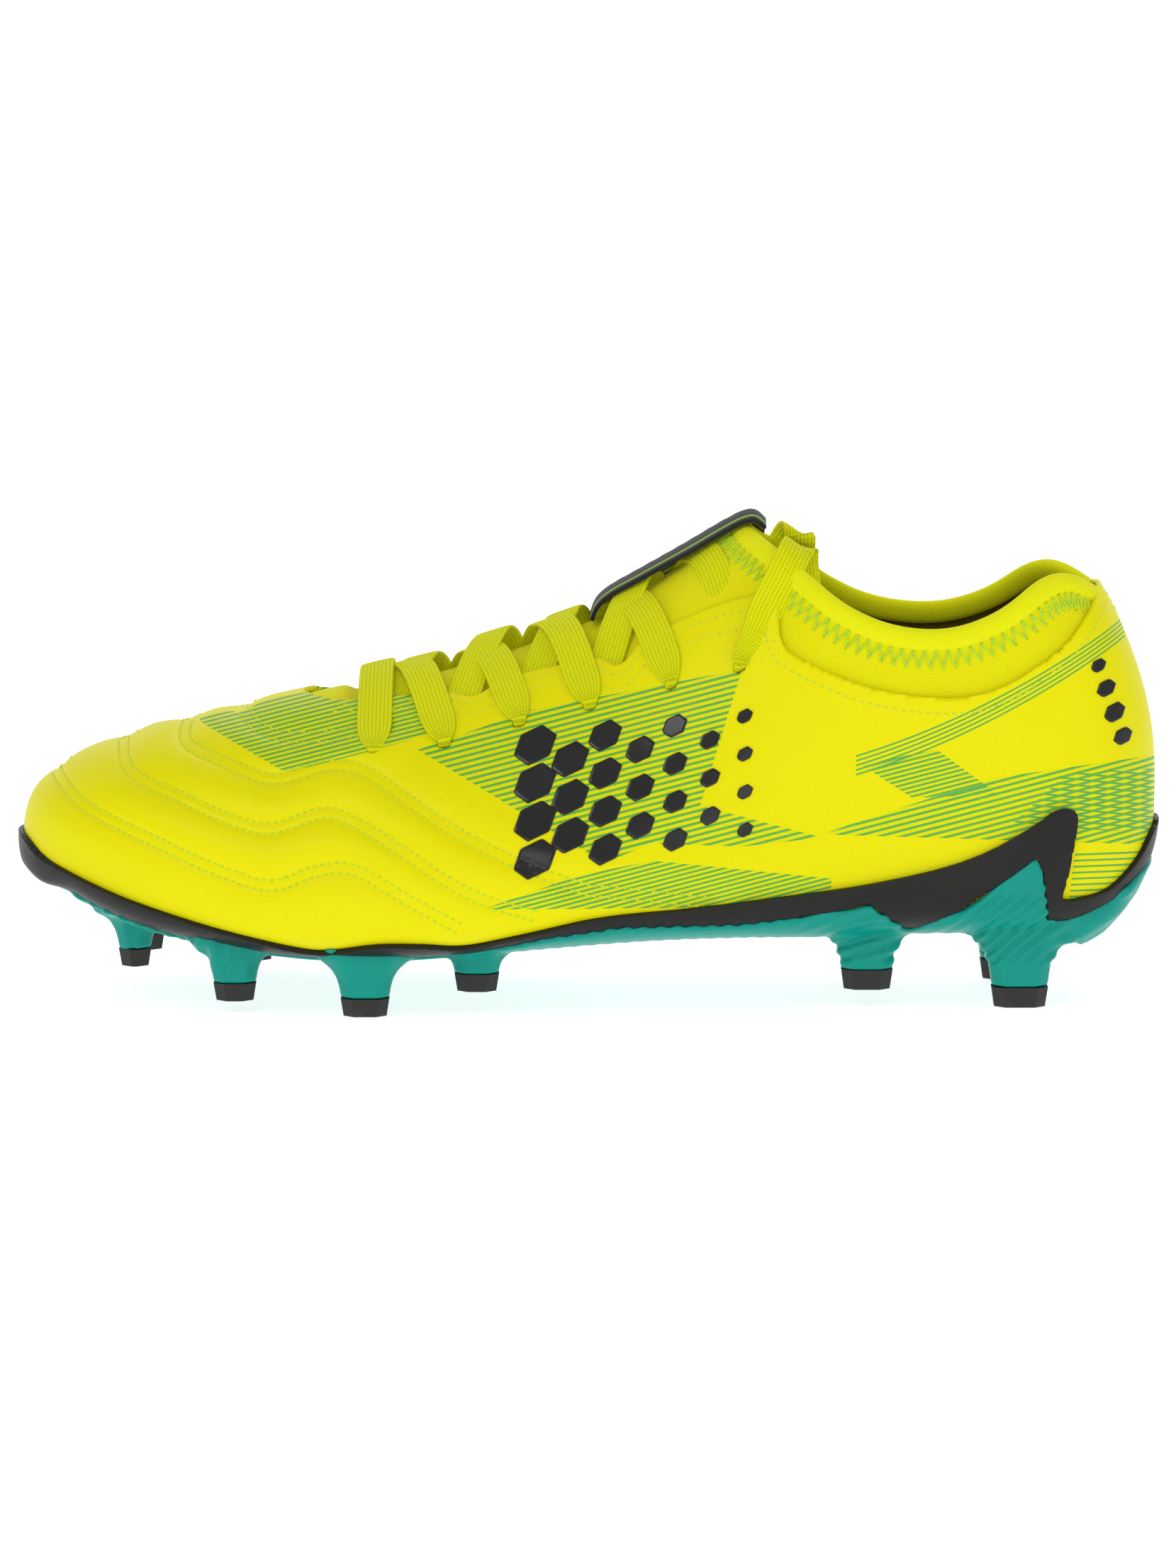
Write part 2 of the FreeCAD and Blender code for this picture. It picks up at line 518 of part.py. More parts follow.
def make_stud_tip(boot, stud):
    """A drafted block with cut corners, wide end up under its stem."""
    name, x, y, clear, length, width = stud
    body = boot.doc.addObject("PartDesign::Body", "tip_" + name)
    wedge = body.newObject("PartDesign::AdditiveWedge", "block_" + name)
    height = "dims.tip_heel_height" if name.startswith("heel") else "dims.tip_forefoot_height"
    wedge.setExpression("Ymin", "0 mm")
    wedge.setExpression("Ymax", height + " * 1 mm")
    for low, high, size in (("X", "X", length), ("Z", "Z", width)):
        wedge.setExpression(low + "min", f"(-{size / 2} + dims.tip_draft) * 1 mm")
        wedge.setExpression(high + "max", f"({size / 2} - dims.tip_draft) * 1 mm")
        wedge.setExpression(low + "2min", f"-{size / 2} mm")
        wedge.setExpression(high + "2max", f"{size / 2} mm")
    boot.doc.recompute()
    upright = [f"Edge{i}" for i, edge in enumerate(wedge.Shape.Edges, start=1)
               if abs(edge.Vertexes[0].Point.y - edge.Vertexes[1].Point.y) > 1.0]
    corner = body.newObject("PartDesign::Chamfer", "corners_" + name)
    corner.Base = (wedge, upright)
    corner.setExpression("Size", "dims.tip_chamfer * 1 mm")
    body.Tip = corner
    upright = FreeCAD.Rotation(FreeCAD.Vector(1, 0, 0), 90)
    body.Placement = FreeCAD.Placement(FreeCAD.Vector(x, y, clear), upright)
    boot.keep(body, "stud_tip_" + name)


STRIP_SPAN = 10


def ribbon_face(near, far):
    """A face between two rows of points: rounded along them and straight across."""
    inner = len(near) - 3
    surface = Part.BSplineSurface()
    surface.buildFromPolesMultsKnots([[a, b] for a, b in zip(near, far)], [3] + [1] * inner + [3], [2, 2],
                                     list(range(inner + 2)), [0, 1], False, False, 2, 1)
    return surface.toShape()


def strip(rows, wall):
    """A flat strip along rows of (point, direction of its width, width)."""
    corners = [[], [], [], []]
    for i, (point, across, width) in enumerate(rows):
        ahead = rows[min(i + 1, len(rows) - 1)][0] - rows[max(i - 1, 0)][0]
        up = ahead.cross(across).normalize()
        wide = up.cross(ahead).normalize()
        for corner, (a, b) in zip(corners, ((-1, -1), (1, -1), (1, 1), (-1, 1))):
            corner.append(point + wide * (width / 2 * a) + up * (wall / 2 * b))
    breaks = list(range(0, len(rows) - 3, STRIP_SPAN)) + [len(rows) - 1]
    faces = [ribbon_face(corners[k - 1][low:high + 1], corners[k][low:high + 1])
             for low, high in zip(breaks, breaks[1:]) for k in range(4)]
    for end in (0, -1):
        ring = [corner[end] for corner in corners]
        faces.append(Part.Face(Part.makePolygon(ring + ring[:1])))
    shell = Part.Shell(faces)
    shell.sewShape()
    solid = Part.Solid(shell)
    if solid.Volume < 0:
        solid.reverse()
    return solid


ALONG = FreeCAD.Vector(1, 0, 0)


def lace_run(boot, start, end, lift_start, crest, lift_end):
    """One run across the throat, from start to end, arching by crest in the middle."""
    full, narrow = boot.dim("lace_width"), boot.dim("lace_width_in_eyelet")
    rows = []
    for s in (0.0, 0.035, 0.09, 0.16, 0.25, 0.35, 0.43, 0.5, 0.57, 0.65, 0.75, 0.84, 0.91, 0.965, 1.0):
        x, y = start.x + (end.x - start.x) * s, start.y + (end.y - start.y) * s
        t = min(max((s - 0.18) / 0.64, 0.0), 1.0)
        ease = 3 * t * t - 2 * t ** 3
        lift = lift_start * (1 - ease) + lift_end * ease + crest * 4 * t * (1 - t)
        width = narrow + (full - narrow) * min(1.0, min(s, 1 - s) / 0.14)
        rows.append((above_plan(x, y, lift), along_wall(x, y), width))
    return rows


def through_eyelet(boot, eyelet):
    """The short way through one eyelet, from outside to inside."""
    return [(above_plan(eyelet.x, eyelet.y, depth), along_wall(eyelet.x, eyelet.y),
             boot.dim("lace_width_in_eyelet")) for depth in (-0.3, -1.1, -1.9)]


def lace_tail(boot, side):
    """A lace end from its tip on the footbed, up inside and over the collar, to the last eyelet."""
    lift = 0.0 if side < 0 else TAIL_LIFT_MEDIAL
    full, narrow = boot.dim("lace_width"), boot.dim("lace_width_in_eyelet")
    rows = []
    for i, (x, z, out) in enumerate(TAIL_WALL):
        width = min(full, narrow + 1.8 * (i + 1))
        rows.append((at_height(x, z + lift, side, out), FreeCAD.Vector(1, 0, -0.7), width))
    turns = ((1.0, 0.4), (0.6, 1.0), (0.2, 1.0))
    for i, (x, y, rise) in enumerate(TAIL_FLOOR):
        a, b = turns[i] if i < len(turns) else (0.0, 1.0)
        width = full if i < len(TAIL_FLOOR) - 1 else narrow
        place = FreeCAD.Vector(x, y * side, section(x, 0.0)[3] + rise)
        rows.append((place, FreeCAD.Vector(a, b * side, 0), width))
    return rows[::-1]


def lace_half(boot, side, crest):
    """From one tip to the bar: out of its last eyelet, then across and down, an eyelet each time."""
    over, under = boot.dim("lace_over"), -boot.dim("lace_under")
    places = {-1: eyelet_places(-1), 1: eyelet_places(1)}
    last = len(EYELETS_X) - 1
    top = places[side][last]
    rows = lace_tail(boot, side) + [(above_plan(top.x, top.y, over), along_wall(top.x, top.y),
                                     boot.dim("lace_width_in_eyelet"))]
    rows += through_eyelet(boot, top)
    for k in range(last, 0, -1):
        lift = under if k == last else over
        rows += lace_run(boot, places[side][k], places[-side][k - 1], lift, crest, under)
        rows += through_eyelet(boot, places[-side][k - 1])[::-1]
        side = -side
    return rows


def make_lace(boot):
    """One flat lace, whole: a straight bar in front, five crossings a side and two tucked ends."""
    over = boot.dim("lace_over")
    first = lace_half(boot, -1, 2.5)
    second = lace_half(boot, 1, 1.0)
    bar = lace_run(boot, eyelet_places(1)[0], eyelet_places(-1)[0], over, 1.6, over)
    rows = first + bar + second[::-1]
    boot.keep(boot.solid(strip(rows, boot.dim("lace_wall")), "lace_strip"), "lace")
    length = sum((b[0] - a[0]).Length for a, b in zip(rows, rows[1:]))
    print(f"lace, tip to tip without aglets: {length:.0f} mm")
    for end, label in ((rows[0], "aglet_lateral"), (rows[-1], "aglet_medial")):
        body = boot.doc.addObject("PartDesign::Body", label)
        tube = body.newObject("PartDesign::AdditiveCylinder", label + "_tube")
        tube.setExpression("Radius", "dims.aglet_radius * 1 mm")
        tube.setExpression("Height", "dims.aglet_length * 1 mm")
        lying = FreeCAD.Rotation(FreeCAD.Vector(0, 1, 0), -90)
        body.Placement = FreeCAD.Placement(end[0] - ALONG * 0.3, lying)
        boot.keep(body, label)


def make_label(boot):
    rows = [(FreeCAD.Vector(x, section(x, 0.0)[5], z), FreeCAD.Vector(0, 1, 0), boot.dim("label_width"))
            for x, z in LABEL_LINE]
    boot.keep(boot.solid(strip(rows, boot.dim("label_wall")), "label"), "tongue_label")


def hexagon(cx, cz, radius, lean=0.35):
    """A leaning hexagon in side view."""
    out = []
    for k in range(6):
        a = math.radians(60 * k + 30)
        px, pz = radius * math.cos(a), radius * math.sin(a)
        out.append((cx + px + lean * pz, cz + pz))
    return out


HEEL_MARK_CELLS = [(132.6, 69.5, 2.4), (130.4, 75.4, 2.7), (128.2, 81.4, 2.4), (126.2, 87.0, 1.9)]


def side_mark_cells():
    """A plain honeycomb that fades towards the heel."""
    cells = []
    for column in range(7):
        rows = 3 if column % 2 else 4
        for row in range(rows):
            offset = row - (rows - 1) / 2
            cells.append((-13.0 + 8.6 * column, 53.0 + 1.2 * column + 9.4 * offset, 5.1 - 0.52 * column))
    return cells


def make_marks(boot):
    skin = boot.layer(boot.dim("mark_wall") + 0.05, 0.05, "mark_skin")
    wanted = [(side, f"{what}_mark_{name}", cells) for side, name in ((-1, "lateral"), (1, "medial"))
              for what, cells in (("side", side_mark_cells()), ("heel", HEEL_MARK_CELLS))]
    for side, label, cells in wanted:
        prisms = [Part.Face(wire_in_side_view(hexagon(*cell), 0.0)).extrude(FreeCAD.Vector(0, WIDE * side, 0))
                  for cell in cells]
        tool = boot.solid(Part.makeCompound(prisms), "mark_tool")
        boot.keep(boot.common(skin, tool, label + "_zone"), label)


def check_and_export(boot):
    boot.doc.recompute()
    bad = [o.Name for o in boot.doc.Objects if {"Invalid", "Error"} & set(o.State)]
    if bad:
        raise RuntimeError(f"objects that failed: {bad}")
    for obj in boot.parts:
        shape = obj.Shape
        if shape.isNull() or not shape.isValid() or not shape.Solids:
            raise RuntimeError(f"{obj.Label} has no valid solid")
    os.makedirs("parts", exist_ok=True)
    for old in os.listdir("parts"):
        if old.endswith(".step"):
            os.remove(os.path.join("parts", old))
    for obj in boot.parts:
        shape = Part.makeCompound(obj.Shape.Solids)
        shape.exportStep(f"parts/{obj.Label}.step")
        box = shape.BoundBox
        print(f"{obj.Label:26s} solids {len(shape.Solids):2d}  volume {shape.Volume / 1000:8.2f} cm3  "
              f"x {box.XMin:7.1f} {box.XMax:7.1f}  y {box.YMin:6.1f} {box.YMax:6.1f}  "
              f"z {box.ZMin:6.1f} {box.ZMax:6.1f}")


def main():
    boot = Boot()
    make_upper(boot)
    make_bootee(boot)
    make_binding(boot)
    make_stiffeners(boot)
    make_lining_and_insoles(boot)
    make_sidewall(boot)
    make_plate(boot)
    for stud in STUDS:
        make_stud_tip(boot, stud)
    make_lace(boot)
    make_label(boot)
    make_marks(boot)
    check_and_export(boot)


main()
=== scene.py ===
"""The looks of a left football boot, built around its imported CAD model.

The boot's skin is one lasted body whose sections run from heel to toe, as in the CAD; every layer is that
body grown or shrunk, cut to its outline and thickened. Lengths here are millimetres until a mesh is made.
"""
import math

import bpy
import bmesh
import numpy as np
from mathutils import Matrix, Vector
from mathutils.bvhtree import BVHTree


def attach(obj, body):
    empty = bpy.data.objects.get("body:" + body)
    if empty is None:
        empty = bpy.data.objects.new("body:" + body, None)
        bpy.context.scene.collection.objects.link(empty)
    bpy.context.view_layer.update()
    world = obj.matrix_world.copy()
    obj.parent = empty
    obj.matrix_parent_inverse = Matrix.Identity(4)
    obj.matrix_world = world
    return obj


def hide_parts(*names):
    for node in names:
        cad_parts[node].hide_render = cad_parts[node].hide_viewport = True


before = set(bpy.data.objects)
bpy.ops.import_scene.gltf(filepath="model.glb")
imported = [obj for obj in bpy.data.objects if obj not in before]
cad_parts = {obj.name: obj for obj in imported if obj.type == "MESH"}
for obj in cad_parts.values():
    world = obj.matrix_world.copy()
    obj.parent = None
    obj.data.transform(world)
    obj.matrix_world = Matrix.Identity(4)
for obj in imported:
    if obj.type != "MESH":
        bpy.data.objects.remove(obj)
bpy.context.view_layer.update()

MM = 0.001

# The lasted body, from toe to heel: x, lateral y, medial y, height of the widest line, floor, ridge height,
# ridge y, then how upright the wall is and how full the top is.
STATIONS = np.array([
    (-142.5, -30.0, 38.0, 41.0, 30.0, 61.0, 6.0, 0.55, 0.60),
    (-130.0, -33.0, 40.0, 40.5, 25.6, 64.0, 6.0, 0.55, 0.60),
    (-115.0, -37.0, 43.0, 38.0, 20.9, 66.2, 5.5, 0.55, 0.60),
    (-95.0, -42.0, 46.0, 34.0, 17.2, 70.2, 5.0, 0.50, 0.56),
    (-75.0, -46.5, 48.0, 30.0, 14.4, 75.5, 5.0, 0.46, 0.50),
    (-55.0, -49.5, 47.0, 29.0, 13.8, 80.0, 5.5, 0.42, 0.44),
    (-35.0, -49.5, 43.5, 30.0, 14.6, 85.0, 6.0, 0.40, 0.40),
    (-10.0, -46.5, 38.0, 32.0, 16.6, 93.0, 6.0, 0.40, 0.38),
    (15.0, -42.5, 34.5, 35.0, 18.0, 103.3, 5.0, 0.42, 0.38),
    (38.0, -39.0, 33.0, 38.0, 18.4, 118.5, 3.0, 0.50, 0.42),
    (58.0, -36.5, 33.0, 41.0, 18.3, 126.0, 1.0, 0.68, 0.60),
    (80.0, -35.3, 34.0, 44.0, 19.0, 126.0, 0.0, 0.76, 0.66),
    (100.0, -35.0, 34.5, 47.0, 19.0, 124.5, 0.0, 0.76, 0.66),
    (122.0, -34.5, 34.5, 51.0, 18.4, 124.0, 0.0, 0.76, 0.66),
    (142.5, -33.0, 33.0, 57.0, 23.0, 118.0, 0.0, 0.76, 0.66),
])
HALF_LENGTH = 142.5
TOE_START, TOE_TIP_Y, TOE_TIP_Z = -92.0, 6.0, 41.0
HEEL_START, HEEL_TIP_Y, HEEL_TIP_Z = 100.0, 0.0, 57.0
LOWER_RISE, LOWER_FULLNESS = 0.9, 0.97

# Outlines seen from the side, x and z; the lateral and the medial side differ round the collar.
RIM_LATERAL = [(36.5, 135), (37.5, 124), (40, 118.6), (49, 111.5), (62, 101), (72, 95.6), (83, 93.4),
               (93, 94.4), (103, 98.9), (109.5, 104), (114, 107.4), (118.5, 108.4), (123, 106.8),
               (132, 101.5)]
RIM_MEDIAL = [(36.5, 135), (37.5, 124), (40, 118.6), (49, 113), (62, 104), (72, 99.6), (83, 97.6),
              (93, 97.8), (103, 100.6), (109.5, 104.6), (114, 107.4), (118.5, 108.4), (123, 106.8),
              (132, 101.5)]
EDGE_LATERAL = [(46.5, 128), (46.8, 98), (48, 90.5), (52, 87.2), (65, 81.4), (77, 78.4), (88, 77.4),
                (97, 78.4), (105, 81.8), (112, 86.4), (119, 92), (125, 99.5), (127, 103), (133, 108)]
EDGE_MEDIAL = [(46.5, 128), (46.8, 100), (48, 93.5), (52, 90.2), (65, 84.4), (77, 81.4), (88, 80.4),
               (97, 81), (105, 83.4), (112, 87), (119, 92), (125, 99.5), (127, 103), (133, 108)]
# The throat in plan, x and y: the scalloped eyestay edge, up one side and down the other.
THROAT_LATERAL = [(-72, 2), (-68, -6), (-62, -11), (-52, -13), (-42, -14), (-34, -15.5), (-28, -18),
                  (-20, -15), (-8, -15), (2, -16), (8, -19.5), (14, -16), (26, -16.5), (40, -20), (48, -24)]
THROAT_MEDIAL = [(48, 26), (40, 22), (26, 21), (14, 21.5), (8, 25), (2, 22), (-8, 21.5),
                 (-20, 22), (-28, 25), (-34, 22.5), (-42, 21.5), (-52, 21), (-62, 19), (-68, 14)]
# The black band's upper edge and the sole plate's upper edge, seen from the side.
BITE_LINE = [(-146, 42), (-141, 40.5), (-136, 36.8), (-130, 34), (-118, 29.6), (-106, 26), (-94, 22.6),
             (-82, 19.7), (-70, 17.0), (-64, 16.8), (-52, 18.8), (-40, 18.8), (-30, 18.2), (-16, 21),
             (2, 25), (26, 27), (50, 29.6), (68, 32), (86, 35.8), (98, 40), (109, 46), (115, 50),
             (119, 50.4), (120.6, 47.5), (118.4, 34), (117.2, 28.2), (123, 28.2), (129.6, 30.2),
             (136.3, 36.2), (140.5, 42.5), (146, 50)]
PLATE_LINE = [(-146, 25), (-133.5, 25), (-132.5, 28.5), (-124, 26.5), (-112, 22.6), (-100, 19), (-88, 16.6),
              (-76, 14.4), (-58, 14), (-46, 15.4), (-34, 15.5), (-22, 18.4), (-10, 20.8), (8, 23), (38, 23),
              (56, 25), (69, 27.5), (80, 20.5), (92, 25.8), (104, 34), (110.4, 38.8), (112, 36), (114.2, 21),
              (123, 24.2), (129.6, 27), (136.3, 32.6), (146, 40)]
# The lace holes on the lateral side, seen from the side; the medial ones sit higher by MEDIAL_LIFT.
EYELETS_X = (-53.0, -35.5, -17.0, 0.5, 20.5, 37.5)
EYELETS_Z = (64.5, 66.5, 71.5, 75.5, 81.0, 85.5)
MEDIAL_LIFT = 2.5
EYELET_RADIUS = 1.75

# Studs: x, y, ground clearance, length along x, width along y, tip height.
STUDS = [(-113.5, -13.0, 8.6, 8.0, 7.5, 4.4), (-112.5, 22.0, 7.6, 8.0, 7.5, 4.4),
         (-87.5, -31.5, 2.8, 10.5, 8.5, 4.4), (-86.5, 36.0, 2.8, 10.5, 8.5, 4.4),
         (-55.0, -38.5, 0.0, 12.0, 9.0, 4.4), (-57.0, 37.0, 0.0, 12.0, 9.0, 4.4),
         (-27.5, -33.0, 5.4, 11.0, 9.0, 4.4), (-29.0, 29.0, 5.4, 11.0, 9.0, 4.4),
         (69.5, -21.5, 4.2, 12.8, 9.5, 5.0), (70.5, 21.0, 4.2, 12.8, 9.5, 5.0),
         (107.5, -23.0, 0.0, 14.0, 10.0, 5.0), (107.5, 23.0, 0.0, 14.0, 10.0, 5.0)]

# Sewn lines over the forefoot, x and height in a side view raised by SIDE_PITCH; each is a pair of rows.
QUILT_LINES = [
    [(-134, 61), (-124.7, 52), (-107.7, 43.6), (-90.8, 36), (-77.6, 32.3), (-66.3, 36), (-56.8, 36),
     (-43.6, 28.5), (-32, 22)],
    [(-117, 69), (-113.4, 60.6), (-100, 54), (-87, 48.3), (-77.6, 46.4), (-65.3, 50.2), (-57.8, 48.3),
     (-45.5, 40.8), (-34, 33), (-24.8, 28.5), (-13.5, 25)],
    [(-101, 73.4), (-100, 68), (-90.8, 63.4), (-77.6, 58.7), (-64.4, 62), (-55, 60.6), (-43.6, 53),
     (-32.3, 45.5), (-15.4, 37), (-0.3, 31.4), (5.6, 30.8), (28.7, 28.2)],
    [(-86.5, 76.0), (-82.3, 71.9), (-75.7, 69.5), (-64.5, 69.5), (-50, 72.2)],
]
QUILT_GAP = 2.6
SIDE_PITCH = math.tan(math.radians(7.0))
# How far from the boot's middle such a view counts its heights.
SIDE_Y = 39.0
# How squarely the body closes at its ends: across, upwards and downwards.
END_ACROSS, TOE_UP, HEEL_UP, TOE_DOWN, HEEL_DOWN = 2.3, 2.6, 1.9, 2.6, 3.5
# Well outside the boot: beside it and above it.
BESIDE, OVERHEAD = 70.0, 190.0


# ---------------------------------------------------------------- the lasted body
def smooth_column(x, column):
    """One column of the stations at x, on a smooth curve through the rows."""
    xs, vs = STATIONS[:, 0], STATIONS[:, column]
    slope = np.empty_like(vs)
    slope[1:-1] = (vs[2:] - vs[:-2]) / (xs[2:] - xs[:-2])
    slope[0], slope[-1] = (vs[1] - vs[0]) / (xs[1] - xs[0]), (vs[-1] - vs[-2]) / (xs[-1] - xs[-2])
    x = np.clip(x, xs[0], xs[-1])
    i = np.clip(np.searchsorted(xs, x, side="right") - 1, 0, len(xs) - 2)
    span = xs[i + 1] - xs[i]
    s = (x - xs[i]) / span
    return ((2 * s ** 3 - 3 * s ** 2 + 1) * vs[i] + (s ** 3 - 2 * s ** 2 + s) * span * slope[i]
            + (3 * s ** 2 - 2 * s ** 3) * vs[i + 1] + (s ** 3 - s ** 2) * span * slope[i + 1])


def closing(share, power):
    """A rounded end: 1 at its start, 0 at its tip."""
    return (1.0 - np.clip(share, 0.0, 1.0) ** power) ** (1.0 / power)


def section(x, grow=0.0):
    """Lateral y, medial y, widest height, floor, ridge height, ridge y, rise and fullness at x."""
    x = np.asarray(x, float)
    lateral, medial, widest, floor, ridge, ridge_y, rise, full = (smooth_column(x, k) for k in range(1, 9))
    lateral, medial, floor, ridge = lateral - grow, medial + grow, floor - grow, ridge + grow
    toe = (TOE_START - x) / (HALF_LENGTH + TOE_START + grow)
    heel = (x - HEEL_START) / (HALF_LENGTH - HEEL_START + grow)
    at_toe, at_heel = x < TOE_START, x > HEEL_START
    tip_y = np.where(at_toe, TOE_TIP_Y, HEEL_TIP_Y)
    tip_z = np.where(at_toe, TOE_TIP_Z, HEEL_TIP_Z)

    def ends(toe_power, heel_power):
        return np.where(at_toe, closing(toe, toe_power), np.where(at_heel, closing(heel, heel_power), 1.0))

    across, up, down = ends(END_ACROSS, END_ACROSS), ends(TOE_UP, HEEL_UP), ends(TOE_DOWN, HEEL_DOWN)
    return (tip_y + (lateral - tip_y) * across, tip_y + (medial - tip_y) * across,
            tip_z + (widest - tip_z) * up, tip_z + (floor - tip_z) * down, tip_z + (ridge - tip_z) * up,
            tip_y + (ridge_y - tip_y) * across, rise, full)


def body(x, w, grow=0.0):
    """The skin at x. w runs -2 floor, -1 lateral side, 0 ridge, 1 medial side, 2 floor."""
    x, w = np.broadcast_arrays(np.asarray(x, float), np.asarray(w, float))
    lateral, medial, widest, floor, ridge, ridge_y, rise, full = section(x, grow)
    side = np.where(w < 0, lateral, medial)
    a = np.abs(w)
    s = np.where(a <= 1, 1 - a, a - 1)
    b0, b1, b2, b3 = (1 - s) ** 3, 3 * s * (1 - s) ** 2, 3 * s * s * (1 - s), s ** 3
    reach = side - ridge_y
    upper = a <= 1
    y = ridge_y + reach * (b0 + b1 + np.where(upper, full, LOWER_FULLNESS) * b2)
    far = np.where(upper, ridge, floor)
    lift = np.where(upper, rise, LOWER_RISE)
    z = widest * b0 + (widest + lift * (far - widest)) * b1 + far * (b2 + b3)
    return np.stack([x, y, z], axis=-1)


def solve_w(test, low, high, rounds=36):
    """The w between low and high where test stops being true."""
    low, high = np.array(low, float), np.array(high, float)
    for _ in range(rounds):
        w = (low + high) / 2
        hit = test(w)
        low, high = np.where(hit, w, low), np.where(hit, high, w)
    return (low + high) / 2


def at_height(x, z, side, grow=0.0):
    """The wall's point at height z on one side (-1 lateral, 1 medial), from floor to ridge."""
    x, z = np.broadcast_arrays(np.asarray(x, float), np.asarray(z, float))
    w = solve_w(lambda w: body(x, w * side, grow)[..., 2] > z, np.zeros(x.shape), np.full(x.shape, 2.0))
    return body(x, w * side, grow)


def share_over(x, y):
    """The w of the upper wall over (x, y)."""
    x, y = np.broadcast_arrays(np.asarray(x, float), np.asarray(y, float))
    ridge_y = section(x)[5]
    side = np.where(y < ridge_y, -1.0, 1.0)
    w = solve_w(lambda w: np.abs(body(x, w * side)[..., 1] - ridge_y) < np.abs(y - ridge_y),
                np.zeros(x.shape), np.ones(x.shape))
    return w * side


def above_plan(x, y, grow):
    """The point over (x, y), taken to the same share of the grown wall's curve."""
    return body(x, share_over(x, y), grow)


def along_wall(x, y):
    """The direction of the wall along the boot at (x, y)."""
    w = share_over(x, y)
    return body(np.asarray(x, float) + 1.5, w) - body(np.asarray(x, float) - 1.5, w)


def rounded(points, steps=8):
    """A finer polyline through given points, on a smooth curve."""
    p = np.array(points, float)
    p = np.vstack([p[:1], p, p[-1:]])
    out = []
    for i in range(1, len(p) - 2):
        for s in np.arange(steps) / steps:
            out.append(0.5 * (2 * p[i] + (p[i + 1] - p[i - 1]) * s
                              + (2 * p[i - 1] - 5 * p[i] + 4 * p[i + 1] - p[i + 2]) * s * s
                              + (3 * p[i] - p[i - 1] - 3 * p[i + 1] + p[i + 2]) * s ** 3))
    return np.array(out + [p[-2]])


def resample(points, step):
    """Points a step apart along a polyline."""
    points = np.asarray(points, float)
    lengths = np.r_[0.0, np.cumsum(np.linalg.norm(np.diff(points, axis=0), axis=1))]
    count = max(2, int(round(lengths[-1] / step)) + 1)
    at = np.linspace(0.0, lengths[-1], count)
    return np.stack([np.interp(at, lengths, points[:, k]) for k in range(points.shape[1])], axis=1)


def polygon_distance(u, v, polygon):
    """Signed distance of (u, v) to a closed polygon, positive inside; vertices may differ per point."""
    inside = np.zeros(u.shape, bool)
    best = np.full(u.shape, 1e9)
    for k in range(len(polygon)):
        au, av = polygon[k - 1]
        bu, bv = polygon[k]
        du, dv = bu - au, bv - av
        t = np.clip(((u - au) * du + (v - av) * dv) / np.maximum(du * du + dv * dv, 1e-9), 0, 1)
        best = np.minimum(best, np.hypot(u - au - t * du, v - av - t * dv))
        crosses = (av > v) != (bv > v)
        inside ^= crosses & (u < au + (v - av) * du / np.where(np.abs(dv) < 1e-9, 1e-9, dv))
    return np.where(inside, best, -best)


def side_blend(lateral, medial, close):
    """A side-view polygon that changes from the lateral to the medial outline across the boot."""
    a, b = np.array(close(lateral)), np.array(close(medial))

    def field(p):
        m = np.clip((p[..., 1] + BESIDE) / (2 * BESIDE), 0, 1)
        polygon = [((1 - m) * p0[0] + m * p1[0], (1 - m) * p0[1] + m * p1[1]) for p0, p1 in zip(a, b)]
        return polygon_distance(p[..., 0], p[..., 2], polygon)
    return field


def closed_above(line):
    line = rounded(line, 4)
    return list(map(tuple, line)) + [(line[-1][0], OVERHEAD), (line[0][0], OVERHEAD)]


def shifted(line, dx, dz):
    return [(px + dx, pz + dz) for px, pz in line]


def side_view_polygon(points):
    return lambda p: polygon_distance(p[..., 0], p[..., 2], points)


def plate_line():
    """The sole plate's upper edge, never under the foot's floor."""
    xs = np.array([p[0] for p in PLATE_LINE])
    floor = section(np.clip(xs, -136.0, 136.0))[3] + 0.8
    return [(px, max(pz, f)) for (px, pz), f in zip(PLATE_LINE, floor)]


# ---------------------------------------------------------------- meshes
def new_object(name, verts, faces, smooth=True):
    """A mesh object from millimetre vertices."""
    mesh = bpy.data.meshes.new(name)
    mesh.from_pydata([tuple(v) for v in np.asarray(verts, float) * MM], [], [tuple(f) for f in faces])
    mesh.validate()
    mesh.update()
    obj = bpy.data.objects.new(name, mesh)
    bpy.context.scene.collection.objects.link(obj)
    if smooth:
        mesh.polygons.foreach_set("use_smooth", [True] * len(mesh.polygons))
    return obj


def station_xs(step, grow=0.0):
    """Stations along the boot, closer together where the toe and heel turn in."""
    toe, heel = HALF_LENGTH + TOE_START + grow, HALF_LENGTH - HEEL_START + grow
    count_toe, count_heel = int(toe * 1.5 / step), int(heel * 1.5 / step)
    front = TOE_START - toe * np.sin(np.linspace(np.pi / 2, 0, count_toe, endpoint=False))
    middle = np.linspace(TOE_START, HEEL_START, int((HEEL_START - TOE_START) / step) + 1)
    back = HEEL_START + heel * np.sin(np.linspace(0, np.pi / 2, count_heel + 1))[1:]
    return np.r_[front, middle, back]


def spread_w(reach, count):
    """Values of w that are evenly spread along a middle section's outline."""
    fine = np.linspace(-reach, reach, 2001)
    p = body(np.full(fine.shape, -40.0), fine)
    lengths = np.r_[0.0, np.cumsum(np.linalg.norm(np.diff(p, axis=0), axis=1))]
    return np.interp(np.linspace(0, lengths[-1], count), lengths, fine)


